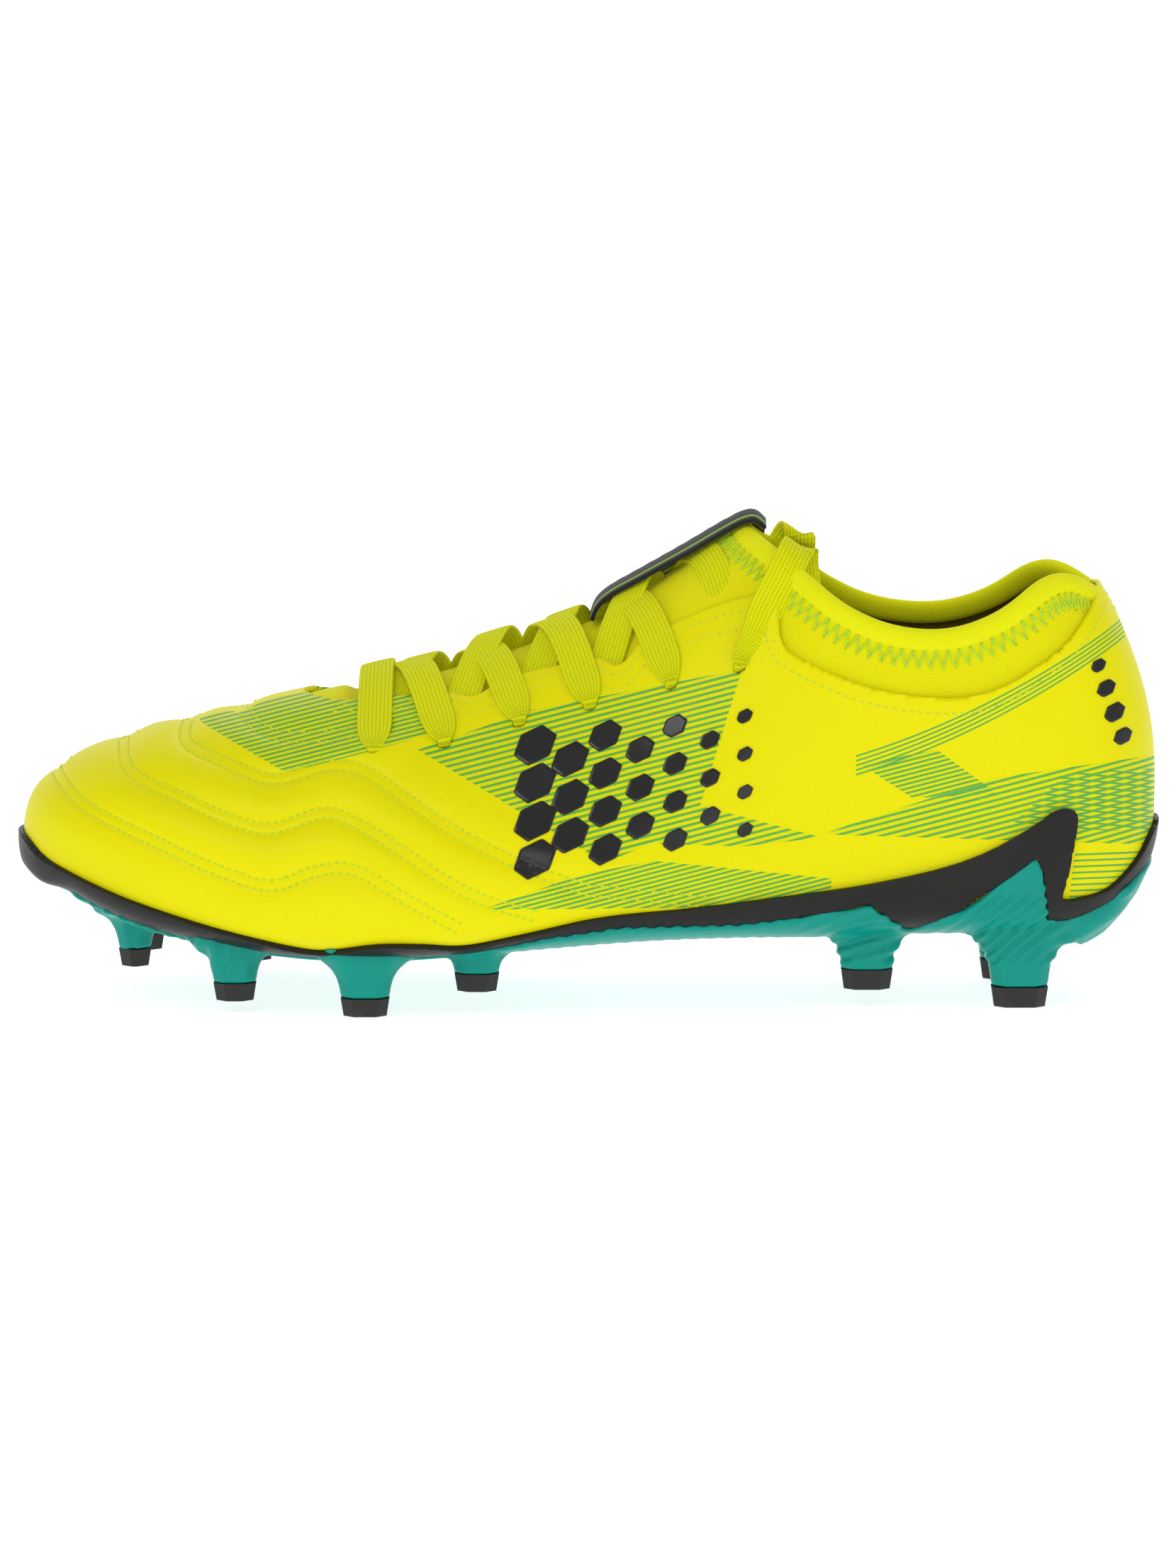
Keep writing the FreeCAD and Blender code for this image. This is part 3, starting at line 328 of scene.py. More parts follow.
def skin(name, grow, fields, step=1.0, reach=1.92, xs=None, relief=None):
    """A patch of the body's skin, cut to where every field is negative, with its edges on the outline."""
    base = grow if np.isscalar(grow) else 0.0
    xs = station_xs(step, base) if xs is None else xs
    ws = spread_w(reach, int(230 / step))
    x, w = np.meshgrid(xs, ws, indexing="ij")
    g = grow if np.isscalar(grow) else grow(x, w)
    points = body(x, w, g)
    if relief is not None:
        normal = grid_normals(points)
        points = points + normal * relief(points)[..., None]
    value = np.max(np.stack([f(points) for f in fields]), axis=0) if fields else np.full(x.shape, -1.0)
    keep = value <= 0
    cell = keep[:-1, :-1] | keep[1:, :-1] | keep[:-1, 1:] | keep[1:, 1:]
    moved = points.copy()
    weight = np.zeros(x.shape)
    total = np.zeros(points.shape)
    for di, dj in ((1, 0), (-1, 0), (0, 1), (0, -1)):
        near = np.roll(np.roll(points, di, 0), dj, 1)
        near_value = np.roll(np.roll(value, di, 0), dj, 1)
        ok = (value > 0) & (near_value <= 0)
        share = np.where(ok, value / np.where(ok, value - near_value, 1.0), 0.0)
        total += np.where(ok[..., None], points + (near - points) * share[..., None], 0.0)
        weight += ok
    snapped = weight > 0
    moved[snapped] = total[snapped] / weight[snapped][:, None]
    used = keep | snapped
    cell &= used[:-1, :-1] & used[1:, :-1] & used[:-1, 1:] & used[1:, 1:]
    index = np.arange(x.size).reshape(x.shape)
    corners = (index[:-1, :-1], index[:-1, 1:], index[1:, 1:], index[1:, :-1])
    faces = np.stack([corner[cell] for corner in corners], 1)
    used_ids, inverse = np.unique(faces, return_inverse=True)
    obj = new_object(name, moved.reshape(-1, 3)[used_ids], inverse.reshape(faces.shape))
    weld(obj)
    return obj


def grid_normals(points):
    """Outward unit normals of a grid of points on the body."""
    du = np.gradient(points, axis=0)
    dv = np.gradient(points, axis=1)
    n = np.cross(dv, du)
    length = np.linalg.norm(n, axis=-1, keepdims=True)
    n = n / np.maximum(length, 1e-9)
    centre = points.copy()
    centre[..., 1:] = [3.0, 45.0]
    flip = np.sum(n * (points - centre), axis=-1, keepdims=True) < 0
    return np.where(flip, -n, n)


BODY_CENTRE = Vector((0.0, 0.003, 0.045))


def weld(obj, distance=0.02):
    """Joins doubled points, drops loose ones and turns the faces outwards."""
    bm = bmesh.new()
    bm.from_mesh(obj.data)
    bmesh.ops.remove_doubles(bm, verts=bm.verts, dist=distance * MM)
    bmesh.ops.dissolve_degenerate(bm, edges=bm.edges, dist=0.005 * MM)
    loose = [v for v in bm.verts if not v.link_faces]
    bmesh.ops.delete(bm, geom=loose, context="VERTS")
    bmesh.ops.recalc_face_normals(bm, faces=bm.faces)
    outward = 0.0
    for f in bm.faces:
        away = f.calc_center_median() - BODY_CENTRE
        away.x = 0.0
        outward += f.normal.dot(away) * f.calc_area()
    if outward < 0:
        bmesh.ops.reverse_faces(bm, faces=bm.faces)
    bm.to_mesh(obj.data)
    bm.free()


def recalc(obj):
    """Turns a closed mesh's faces outwards."""
    bm = bmesh.new()
    bm.from_mesh(obj.data)
    bmesh.ops.recalc_face_normals(bm, faces=bm.faces)
    bm.to_mesh(obj.data)
    bm.free()


def grid_faces(shape):
    """The faces of a grid of points."""
    index = np.arange(shape[0] * shape[1]).reshape(shape)
    corners = (index[:-1, :-1], index[:-1, 1:], index[1:, 1:], index[1:, :-1])
    return np.stack(corners, axis=-1).reshape(-1, 4)


def tape_measure(obj, along, across):
    """Writes how far along (mm) and across (0 to 1) a tape each of its points lies."""
    for key, values in (("along", along), ("across", across)):
        layer = obj.data.attributes.new(key, "FLOAT", "POINT")
        layer.data.foreach_set("value", values)


def left_of(line):
    """Unit directions to the left of a fine plane line."""
    ahead = np.gradient(line, axis=0)
    ahead /= np.linalg.norm(ahead, axis=1, keepdims=True)
    return np.stack([-ahead[:, 1], ahead[:, 0]], axis=1)


def apply_modifiers(obj):
    """Makes the modifiers' result the object's own mesh."""
    bpy.context.view_layer.update()
    deps = bpy.context.evaluated_depsgraph_get()
    mesh = bpy.data.meshes.new_from_object(obj.evaluated_get(deps))
    old = obj.data
    obj.modifiers.clear()
    obj.data = mesh
    bpy.data.meshes.remove(old)
    mesh.name = obj.name


def thicken(obj, wall, outward=False, inside=None):
    """Gives a sheet its wall; the far side may take another material."""
    mod = obj.modifiers.new("wall", "SOLIDIFY")
    if inside:
        obj.data.materials.append(inside)
        mod.material_offset = 1
    mod.thickness = wall * MM
    mod.offset = 1.0 if outward else -1.0
    mod.use_even_offset = False
    mod.use_quality_normals = True
    apply_modifiers(obj)


def ride(obj, *nodes, slot=None):
    """Fixes a piece to the one body, in place of the nodes named; the slot argument is not used."""
    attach(obj, "root")
    if nodes:
        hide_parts(*nodes)
    return obj


def tree_of(obj):
    verts = [v.co.copy() for v in obj.data.vertices]
    return BVHTree.FromPolygons(verts, [tuple(p.vertices) for p in obj.data.polygons])


def drop_on(tree, points, lift=0.0):
    """Points moved to the nearest place on a surface, then raised by lift, with the normals there."""
    places, normals = [], []
    for p in np.asarray(points, float) * MM:
        place, normal, _, _ = tree.find_nearest(Vector(p))
        places.append(np.array(place + normal * lift * MM) / MM)
        normals.append(np.array(normal))
    return np.array(places), np.array(normals)


def from_side(tree, outline, side, lift=0.0):
    """An outline of x and height, thrown on the boot's side along a slightly raised level view."""
    direction = Vector((0.0, -side, -SIDE_PITCH)).normalized()
    places, normals = [], []
    for x, height in outline:
        start = Vector((x, side * 150.0, height + (150.0 - SIDE_Y) * SIDE_PITCH)) * MM
        place, normal, _, _ = tree.ray_cast(start, direction)
        if place is None:
            place, normal, _, _ = tree.find_nearest(Vector((x, 6.0, height)) * MM)
        places.append(np.array(place + normal * lift * MM) / MM)
        normals.append(np.array(normal))
    return np.array(places), np.array(normals)


def frames_along(points, normals):
    """Unit directions along a line on a surface and across it."""
    ahead = np.gradient(points, axis=0)
    ahead /= np.maximum(np.linalg.norm(ahead, axis=1, keepdims=True), 1e-9)
    across = np.cross(normals, ahead)
    across /= np.maximum(np.linalg.norm(across, axis=1, keepdims=True), 1e-9)
    return ahead, across


# Along one stitch: place, thickness and rise, as shares of its length, width and height.
STITCH_STATIONS = ((-0.5, 0.25, -0.55), (-0.3, 0.85, 0.05), (0.0, 1.0, 0.3), (0.3, 0.85, 0.05),
                   (0.5, 0.25, -0.55))


def stitch_row(points, normals, pitch, length, width, height, verts, faces):
    """Adds one row of short thread stitches, each a small rounded bead that dips at its ends."""
    stepped = resample(np.hstack([points, normals]), pitch)
    places, ups = stepped[:, :3], stepped[:, 3:]
    ahead, across = frames_along(places, ups)
    ring = [(math.cos(a), math.sin(a)) for a in np.linspace(0, 2 * math.pi, 6, endpoint=False)]
    for p, t, n, c in zip(places, ahead, ups, across):
        first = len(verts)
        for along, size, rise in STITCH_STATIONS:
            for a, b in ring:
                verts.append(p + t * along * length + c * a * size * width / 2
                             + n * (b * size * height / 2 + rise * height))
        for i in range(len(STITCH_STATIONS) - 1):
            for k in range(6):
                a, b = first + 6 * i + k, first + 6 * i + (k + 1) % 6
                faces.append((a, b, b + 6, a + 6))
        faces.append(tuple(first + k for k in reversed(range(6))))
        faces.append(tuple(first + 6 * (len(STITCH_STATIONS) - 1) + k for k in range(6)))


def sweep(rings, closed=False):
    """The points of rings of equal size and the faces that join them, with end caps if it is open."""
    size = len(rings[0])
    verts = np.concatenate(rings)
    faces = []
    count = len(rings)
    for i in range(count if closed else count - 1):
        for k in range(size):
            a, b = i * size + k, i * size + (k + 1) % size
            c, d = ((i + 1) % count) * size + k, ((i + 1) % count) * size + (k + 1) % size
            faces.append((a, b, d, c))
    if not closed:
        faces.append(tuple(reversed(range(size))))
        faces.append(tuple((count - 1) * size + k for k in range(size)))
    return verts, faces


def thread(points, radius, closed=False, sides=6):
    """A round thread along points."""
    points = np.asarray(points, float)
    ahead = (np.roll(points, -1, 0) - np.roll(points, 1, 0)) if closed else np.gradient(points, axis=0)
    ahead /= np.maximum(np.linalg.norm(ahead, axis=1, keepdims=True), 1e-9)
    up = np.array([0.0, 0.0, 1.0])
    rings = []
    for p, t in zip(points, ahead):
        c = np.cross(t, up)
        c /= max(np.linalg.norm(c), 1e-9)
        n = np.cross(c, t)
        rings.append(np.array([p + radius * (c * math.cos(a) + n * math.sin(a))
                               for a in np.linspace(0, 2 * math.pi, sides, endpoint=False)]))
    return sweep(rings, closed)


# ---------------------------------------------------------------- materials
class Expr:
    """A number made by shader nodes, written as arithmetic."""

    def __init__(self, nodes, links, socket):
        self.nodes, self.links, self.socket = nodes, links, socket

    def op(self, name, *others):
        node = self.nodes.new("ShaderNodeMath")
        node.operation = name
        self.links.new(self.socket, node.inputs[0])
        for i, other in enumerate(others, start=1):
            if isinstance(other, Expr):
                self.links.new(other.socket, node.inputs[i])
            else:
                node.inputs[i].default_value = other
        return Expr(self.nodes, self.links, node.outputs[0])

    def __add__(self, o): return self.op("ADD", o)
    def __sub__(self, o): return self.op("SUBTRACT", o)
    def __mul__(self, o): return self.op("MULTIPLY", o)
    def __truediv__(self, o): return self.op("DIVIDE", o)
    __radd__ = __add__
    __rmul__ = __mul__

    def above(self, o): return self.op("GREATER_THAN", o)
    def below(self, o): return self.op("LESS_THAN", o)
    def fract(self): return self.op("FRACT")
    def abs(self): return self.op("ABSOLUTE")
    def sin(self): return self.op("SINE")
    def min(self, o): return self.op("MINIMUM", o)
    def max(self, o): return self.op("MAXIMUM", o)

    def ramp(self, low, high):
        """0 below low, 1 above high, smooth between."""
        node = self.nodes.new("ShaderNodeMapRange")
        node.interpolation_type = "SMOOTHSTEP"
        self.links.new(self.socket, node.inputs["Value"])
        node.inputs["From Min"].default_value = low
        node.inputs["From Max"].default_value = high
        return Expr(self.nodes, self.links, node.outputs["Result"])


class Paint:
    """A material under construction: a Principled shader and helpers that feed it."""

    def __init__(self, name, color, roughness=0.5, **constants):
        self.mat = bpy.data.materials.new(name)
        self.mat.use_nodes = True
        self.nodes, self.links = self.mat.node_tree.nodes, self.mat.node_tree.links
        self.shader = self.nodes["Principled BSDF"]
        self.color = tuple(color) + (1.0,)
        self.shader.inputs["Base Color"].default_value = self.color
        self.shader.inputs["Roughness"].default_value = roughness
        for key, value in constants.items():
            self.shader.inputs[key.replace("_", " ")].default_value = value
        coords = self.nodes.new("ShaderNodeTexCoord")
        self.coords = coords.outputs["Object"]
        split = self.nodes.new("ShaderNodeSeparateXYZ")
        self.links.new(self.coords, split.inputs[0])
        self.x, self.y, self.z = (Expr(self.nodes, self.links, split.outputs[k]) * 1000.0 for k in range(3))

    def attribute(self, name):
        node = self.nodes.new("ShaderNodeAttribute")
        node.attribute_name = name
        return Expr(self.nodes, self.links, node.outputs["Fac"])

    def noise(self, scale, detail=2.0, stretch=None):
        node = self.nodes.new("ShaderNodeTexNoise")
        node.inputs["Scale"].default_value = scale
        node.inputs["Detail"].default_value = detail
        source = self.coords
        if stretch:
            mapping = self.nodes.new("ShaderNodeMapping")
            mapping.inputs["Scale"].default_value = stretch
            self.links.new(source, mapping.inputs["Vector"])
            source = mapping.outputs[0]
        self.links.new(source, node.inputs["Vector"])
        return Expr(self.nodes, self.links, node.outputs["Fac"])

    def tint(self, amount, color):
        """Mixes a colour over what the base has so far."""
        mix = self.nodes.new("ShaderNodeMix")
        mix.data_type = "RGBA"
        self.links.new(amount.socket, mix.inputs["Factor"])
        current = self.shader.inputs["Base Color"]
        if current.is_linked:
            self.links.new(current.links[0].from_socket, mix.inputs[6])
        else:
            mix.inputs[6].default_value = self.color
        mix.inputs[7].default_value = tuple(color) + (1.0,)
        self.links.new(mix.outputs[2], current)

    def rough(self, expr):
        self.links.new(expr.socket, self.shader.inputs["Roughness"])

    def bump(self, expr, depth):
        """Raises the surface by expr times depth, in millimetres."""
        node = self.nodes.new("ShaderNodeBump")
        node.inputs["Distance"].default_value = depth * MM
        node.inputs["Strength"].default_value = 1.0
        self.links.new(expr.socket, node.inputs["Height"])
        target = self.shader.inputs["Normal"]
        if target.is_linked:
            self.links.new(target.links[0].from_socket, node.inputs["Normal"])
        self.links.new(node.outputs[0], target)

    def painted_glow(self, strength):
        """Painted glow: the surface gives off a faint light of its own colour, lit or not, standing in for
        the bright look of a fluorescent dye.
        """
        self.shader.inputs["Emission Color"].default_value = self.color
        self.shader.inputs["Emission Strength"].default_value = strength

    def side_height(self):
        """Height as a slightly raised side view shows it, the same for both sides."""
        return self.z - (self.y.abs() - SIDE_Y) * SIDE_PITCH


def srgb(r, g, b):
    def linear(v):
        v /= 255.0
        return v / 12.92 if v <= 0.04045 else ((v + 0.055) / 1.055) ** 2.4
    return (linear(r), linear(g), linear(b))


YELLOW = srgb(232, 226, 0)
KNIT = srgb(232, 228, 4)
THREAD = srgb(214, 238, 30)
TEAL = srgb(0, 158, 144)
PRINT = srgb(66, 170, 92)
BLACK = srgb(34, 34, 33)


def halfplane(x, h, ax, ah, bx, bh):
    """1 on the left of the line from a to b, seen with x to the right and h up."""
    return ((h - ah) * (bx - ax) - (x - ax) * (bh - ah)).above(0.0)


def region(x, h, *corners):
    """1 inside a convex outline, its corners listed anticlockwise."""
    mask = None
    for k in range(len(corners)):
        a, b = corners[k - 1], corners[k]
        part = halfplane(x, h, a[0], a[1], b[0], b[1])
        mask = part if mask is None else mask * part
    return mask


def hatch(x, h, slope, pitch, share):
    """Lines that rise by slope, a pitch apart, each as wide as its share of the pitch."""
    return ((h - x * slope) / pitch).fract().below(share)


# The vamp's print stops this far short of the middle of its top.
RIDGE_Y, RIDGE_GAP = 5.0, 6.5
PRINT_SLOPE = 0.26


def synthetic_yellow():
    """The printed synthetic outer: slanting green lines inside zones seen from the side."""
    paint = Paint("synthetic_yellow", YELLOW, 0.42, Specular_IOR_Level=0.16)
    # Painted glow: the yellow outer gives off a faint light of its own colour.
    paint.painted_glow(0.05)
    x, h = paint.x, paint.side_height()
    thin = hatch(x, h, PRINT_SLOPE, 1.5, 0.44)
    finer = hatch(x, h, PRINT_SLOPE, 1.15, 0.48)
    vamp = region(x, h, (-74, 60), (-58, 64.5), (-40, 69), (-40, 90), (-110, 90), (-97, 73.2))
    vamp = vamp * (paint.y - RIDGE_Y).abs().above(RIDGE_GAP)
    flank = region(x, h, (4, 38), (26, 47), (38, 86), (-14, 76), (-42, 66))
    below_mark = region(x, h, (2, 38), (38, 42), (70, 41), (28, 52), (-6, 50))
    bite = region(x, h, (-26, 26.5), (60, 27), (60, 34), (16, 38.5), (-2, 35))
    arch = region(x, h, (67, 62.4), (80, 54), (101, 55), (86, 66))
    heel = region(x, h, (58, 45), (150, 42), (150, 66), (100, 59), (66, 48))
    past = x - 82.8
    curve = h - past * 0.41 - past * past * 0.0031
    bundle = (curve / 1.15).fract().below(0.42) * curve.above(65.5) * curve.below(71.3)
    bundle = bundle * x.above(66) * x.below(134)
    cross = hatch(x, h, -0.10, 1.5, 0.34) * region(x, h, (104, 47), (150, 45), (150, 62), (118, 60))
    back = hatch(x, h, 0.03, 1.5, 0.34) * region(x, h, (119, 28), (150, 28), (150, 41), (120.5, 41))
    lines = (thin * flank).max(finer * vamp).max(finer * bite).max(thin * below_mark).max(finer * arch)
    lines = lines.max(thin * heel).max(bundle).max(cross).max(back)
    zones = vamp.max(flank).max(bite).max(below_mark).max(arch).max(heel)
    paint.tint(zones * 0.16, srgb(150, 200, 20))
    paint.tint(lines * 0.9, PRINT)
    mottled = paint.noise(90, 3.0).ramp(0.3, 0.75)
    paint.tint(mottled * 0.05, srgb(216, 222, 0))
    pores = paint.noise(2600, 2.0)
    paint.bump(pores, 0.035)
    paint.bump(paint.noise(260, 3.0), 0.12)
    paint.rough(paint.noise(420, 2.0) * 0.10 + 0.36)
    return paint.mat


def knit(name, color, pitch=0.5, painted_glow=0.05):
    """Fine knit: rows of small loops that run round the foot, seen as faint ribs, with painted shade in the
    grooves between them.
    """
    paint = Paint(name, color, 0.8, Sheen_Weight=0.08, Sheen_Roughness=0.5, Specular_IOR_Level=0.2)
    # Painted glow: the knit gives off a faint light of its own colour.
    paint.painted_glow(painted_glow)
    rows = ((paint.z - paint.x * 0.12 + paint.noise(60, 2.0) * 1.2) * (2 * math.pi / pitch)).sin()
    loops = ((paint.x + paint.y * 0.7) * (2 * math.pi / (pitch * 1.3))).sin()
    weave = rows * 0.65 + loops * 0.35
    paint.bump(weave, 0.035)
    paint.bump(paint.noise(900, 3.0), 0.05)
    # Painted shade: the colour is darkened where the weave sits low, in the grooves between the ribs.
    paint.tint((weave.ramp(-0.9, 0.3) * -1.0 + 1.0) * 0.35, tuple(c * 0.80 for c in color))
    paint.tint(paint.noise(120, 2.0).ramp(0.35, 0.8) * 0.10, tuple(c * 0.85 for c in color))
    return paint.mat


def flat_weave(name, color, rows, dark=0.72, painted_glow=0.06):
    """A flat tubular braid: cords along it, each crossed by slanting picks, with painted shade where it sits
    low between them. Uses along and across, in mm.
    """
    paint = Paint(name, color, 0.8, Sheen_Weight=0.06, Specular_IOR_Level=0.2)
    # Painted glow: the braid gives off a faint light of its own colour.
    paint.painted_glow(painted_glow)
    along, across = paint.attribute("along"), paint.attribute("across")
    ribs = (across * (math.pi * rows)).sin().abs()
    picks = ((along * 1.25 + (across * rows).fract() * 0.9) * (2 * math.pi)).sin()
    height = ribs * 0.75 + picks * 0.25
    paint.bump(height, 0.22)
    # Painted shade: the colour is darkened where the weave sits low, between the cords and picks.
    paint.tint((height.ramp(0.05, 0.6) * -1.0 + 1.0) * 0.6, tuple(c * dark for c in color))
    paint.bump(paint.noise(1500, 2.0), 0.05)
    return paint.mat


def teal_plate():
    paint = Paint("plate_teal", TEAL, 0.4, Specular_IOR_Level=0.3)
    paint.bump(paint.noise(900, 3.0), 0.03)
    paint.tint(paint.noise(55, 3.0).ramp(0.35, 0.8) * 0.12, srgb(0, 132, 122))
    scuffs = paint.noise(260, 4.0, stretch=(1.0, 1.0, 3.0)).ramp(0.62, 0.78)
    paint.rough(scuffs * 0.12 + 0.32)
    return paint.mat


def black_gloss(name, color=BLACK, roughness=0.3, grain=0.03):
    paint = Paint(name, color, roughness, Specular_IOR_Level=0.35)
    paint.bump(paint.noise(1100, 3.0), grain)
    paint.tint(paint.noise(80, 3.0).ramp(0.4, 0.8) * 0.2, tuple(c * 1.5 for c in color))
    paint.rough(paint.noise(300, 3.0) * 0.12 + (roughness - 0.05))
    return paint.mat


def stud_black():
    paint = Paint("tip_black", srgb(44, 43, 41), 0.48)
    paint.bump(paint.noise(700, 4.0), 0.06)
    wear = paint.z.ramp(0.0, 2.4) * -1.0 + 1.0
    paint.tint(wear * paint.noise(400, 3.0).ramp(0.4, 0.7) * 0.45, srgb(82, 80, 76))
    return paint.mat


def thread_material(name, color):
    paint = Paint(name, color, 0.6, Sheen_Weight=0.3)
    # Painted glow: the thread gives off a faint light of its own colour.
    paint.painted_glow(0.06)
    paint.bump(((paint.x + paint.z) * (2 * math.pi / 0.35)).sin(), 0.04)
    paint.tint(paint.noise(500, 2.0).ramp(0.4, 0.8) * 0.2, tuple(c * 0.8 for c in color))
    return paint.mat


def cloth_plain(name, color, pitch=0.7):
    paint = Paint(name, color, 0.85, Sheen_Weight=0.25, Sheen_Roughness=0.5)
    warp = (paint.x * (2 * math.pi / pitch)).sin()
    weft = ((paint.y + paint.z) * (2 * math.pi / pitch)).sin()
    paint.bump(warp * weft, 0.08)
    paint.tint((warp * weft).ramp(-0.6, 0.9) * 0.25, tuple(c * 0.7 for c in color))
    return paint.mat


def dress(obj, material):
    """Gives a piece or a carried-over node one material."""
    if not obj.data.materials:
        obj.data.materials.append(material)
    for s in obj.material_slots:
        s.link = "OBJECT"
        s.material = material
    return obj


# ---------------------------------------------------------------- camera
AIM = Vector((0.0, 0.0, 0.0527))
DISTANCE, ELEVATION, LENS = 1.6, math.radians(7.0), 145.8


def make_camera():
    data = bpy.data.cameras.new("camera")
    data.lens, data.sensor_width, data.sensor_fit = LENS, 36.0, "AUTO"
    cam = bpy.data.objects.new("camera", data)
    cam.location = AIM + Vector((0.0, -math.cos(ELEVATION), math.sin(ELEVATION))) * DISTANCE
    cam.rotation_euler = (math.pi / 2 - ELEVATION, 0.0, 0.0)
    bpy.context.scene.collection.objects.link(cam)
    bpy.context.scene.camera = cam


make_camera()


# ---------------------------------------------------------------- the upper
UPPER_WALL = 1.3
# No throat below this height, and the value of a field that leaves a point alone.
THROAT_FLOOR, UNCUT = 56.0, -5.0


def lateral_and_medial_throat():
    return np.vstack([rounded(THROAT_LATERAL, 4), rounded(THROAT_MEDIAL, 4)])


def throat_field(p):
    """Positive inside the throat, which cuts only the top of the foot."""
    inside = polygon_distance(p[..., 0], p[..., 1], lateral_and_medial_throat())
    return np.where(p[..., 2] > THROAT_FLOOR, inside, UNCUT)


def eyelet_places(side):
    lift = 0.0 if side < 0 else MEDIAL_LIFT
    return at_height(np.array(EYELETS_X), np.array(EYELETS_Z) + lift, side)


def eyelet_field(p):
    value = np.full(p.shape[:-1], UNCUT)
    for side in (-1, 1):
        for place in eyelet_places(side):
            value = np.maximum(value, EYELET_RADIUS - np.linalg.norm(p - place, axis=-1))
    return value


def line_distance(u, v, line):
    best = np.full(u.shape, 1e9)
    for (au, av), (bu, bv) in zip(line[:-1], line[1:]):
        du, dv = bu - au, bv - av
        t = np.clip(((u - au) * du + (v - av) * dv) / max(du * du + dv * dv, 1e-9), 0, 1)
        best = np.minimum(best, np.hypot(u - au - t * du, v - av - t * dv))
    return best


def quilt_relief(p):
    """Padding that swells between the sewn lines and pulls in along them."""
    h = p[..., 2] - (np.abs(p[..., 1]) - SIDE_Y) * SIDE_PITCH
    relief = np.zeros(h.shape)
    for line in QUILT_LINES:
        d = line_distance(p[..., 0], h, rounded(line, 5))
        groove = np.exp(-((d - QUILT_GAP / 2) / 0.7) ** 2) * 0.4
        relief += 0.42 * np.exp(-((d - 6.5) / 4.0) ** 2) - groove - 0.15 * np.exp(-(d / 2.2) ** 2)
    fade = np.clip((p[..., 2] - 20.0) / 8.0, 0, 1)
    return relief * fade


def soft_folds(p):
    """The gentle unevenness of a lasted synthetic skin."""
    x, y, z = p[..., 0], p[..., 1], p[..., 2]
    return 0.10 * np.sin(x / 9.0 + z / 13.0) * np.sin(z / 7.0 - y / 17.0) + 0.07 * np.sin(x / 4.3 - z / 6.1)


collar_field = side_blend(EDGE_LATERAL, EDGE_MEDIAL, closed_above)


def make_upper():
    obj = skin("upper_shell", 0.0, [throat_field, collar_field, eyelet_field], step=0.8,
               relief=lambda p: quilt_relief(p) + soft_folds(p))
    tree = tree_of(obj)
    thicken(obj, UPPER_WALL)
    dress(obj, synthetic_yellow())
    ride(obj, "upper_shell", slot="synthetic_yellow")
    return tree


upper_tree = make_upper()


def offset_pair(line, gap):
    """The two rows of a double seam, either side of a line in the side view."""
    fine = resample(rounded(line, 6), 1.5)
    across = left_of(fine)
    return fine + across * gap / 2, fine - across * gap / 2


def make_quilt_stitches():
    verts, faces = [], []
    for side in (-1, 1):
        for line in QUILT_LINES:
            for row in offset_pair(line, QUILT_GAP):
                points, normals = from_side(upper_tree, row, side)
                stitch_row(points, normals, 1.9, 1.45, 0.6, 0.36, verts, faces)
    obj = new_object("quilt_stitches", verts, faces)
    dress(obj, thread_material("thread_lime", THREAD))
    return ride(obj, slot="synthetic_yellow")


EYESTAY_INSETS, COLLAR_INSET = (2.2, 4.8), 3.2


def edge_rows():
    """Two rows along each eyestay and one under each side of the collar edge, in from the edge."""
    rows = []
    for side, throat, edge in ((-1, THROAT_LATERAL[2:], EDGE_LATERAL), (1, THROAT_MEDIAL[:-1], EDGE_MEDIAL)):
        fine = rounded(throat, 6)
        for inset in EYESTAY_INSETS:
            plan = fine - left_of(fine) * inset
            rows.append(above_plan(plan[:, 0], plan[:, 1], 0.0))
        fine = rounded(edge, 6)[7:-3]
        down = fine - left_of(fine) * COLLAR_INSET
        rows.append(at_height(down[:, 0], down[:, 1], side))
    return rows


def make_edge_stitches():
    verts, faces = [], []
    for row in edge_rows():
        points, normals = drop_on(upper_tree, row)
        stitch_row(points, normals, 2.1, 1.55, 0.5, 0.3, verts, faces)
    obj = new_object("edge_stitches", verts, faces)
    dress(obj, thread_material("thread_yellow", srgb(222, 240, 44)))
    return ride(obj, slot="synthetic_yellow")


make_quilt_stitches()
make_edge_stitches()


# ---------------------------------------------------------------- the knit bootee and its collar
def ease(t):
    t = np.clip(t, 0, 1)
    return 3 * t * t - 2 * t ** 3


BOOTEE_DEPTH, BOOTEE_WALL = -3.7, 1.2


def bootee_grow(x, w):
    """Deep under the eyestays, where the lace runs; closer at the throat's front, crest and collar."""
    crest = 2.9 * ease((x - 2.0) / 20.0) * ease((0.62 - np.abs(w)) / 0.35)
    front = 2.1 * ease((-57.0 - x) / 5.0) * ease((0.5 - np.abs(w)) / 0.2)
    return np.minimum(BOOTEE_DEPTH + np.maximum(2.1 * ease((x - 36.0) / 18.0), crest) + front, -0.8)


rim_field = side_blend(shifted(RIM_LATERAL, -0.6, -2.0), shifted(RIM_MEDIAL, -0.6, -2.0), closed_above)


def make_bootee():
    obj = skin("knit_bootee", bootee_grow, [rim_field], step=1.0, xs=station_xs(1.0, BOOTEE_DEPTH), reach=1.8,
               relief=lambda p: 0.25 * np.sin(p[..., 0] / 11.0 + p[..., 1] / 7.0))
    tree = tree_of(obj)
    loop = top_loop(obj)
    dress(obj, knit("knit_yellow", KNIT))
    # The inner face is painted shade: the same knit in a dark olive, for the inside of the boot, which lies
    # in shade.
    thicken(obj, BOOTEE_WALL, inside=knit("knit_inside_shaded", srgb(108, 94, 3), 0.8, 0.0))
    ride(obj, "knit_bootee", slot="knit_yellow")
    return tree, loop


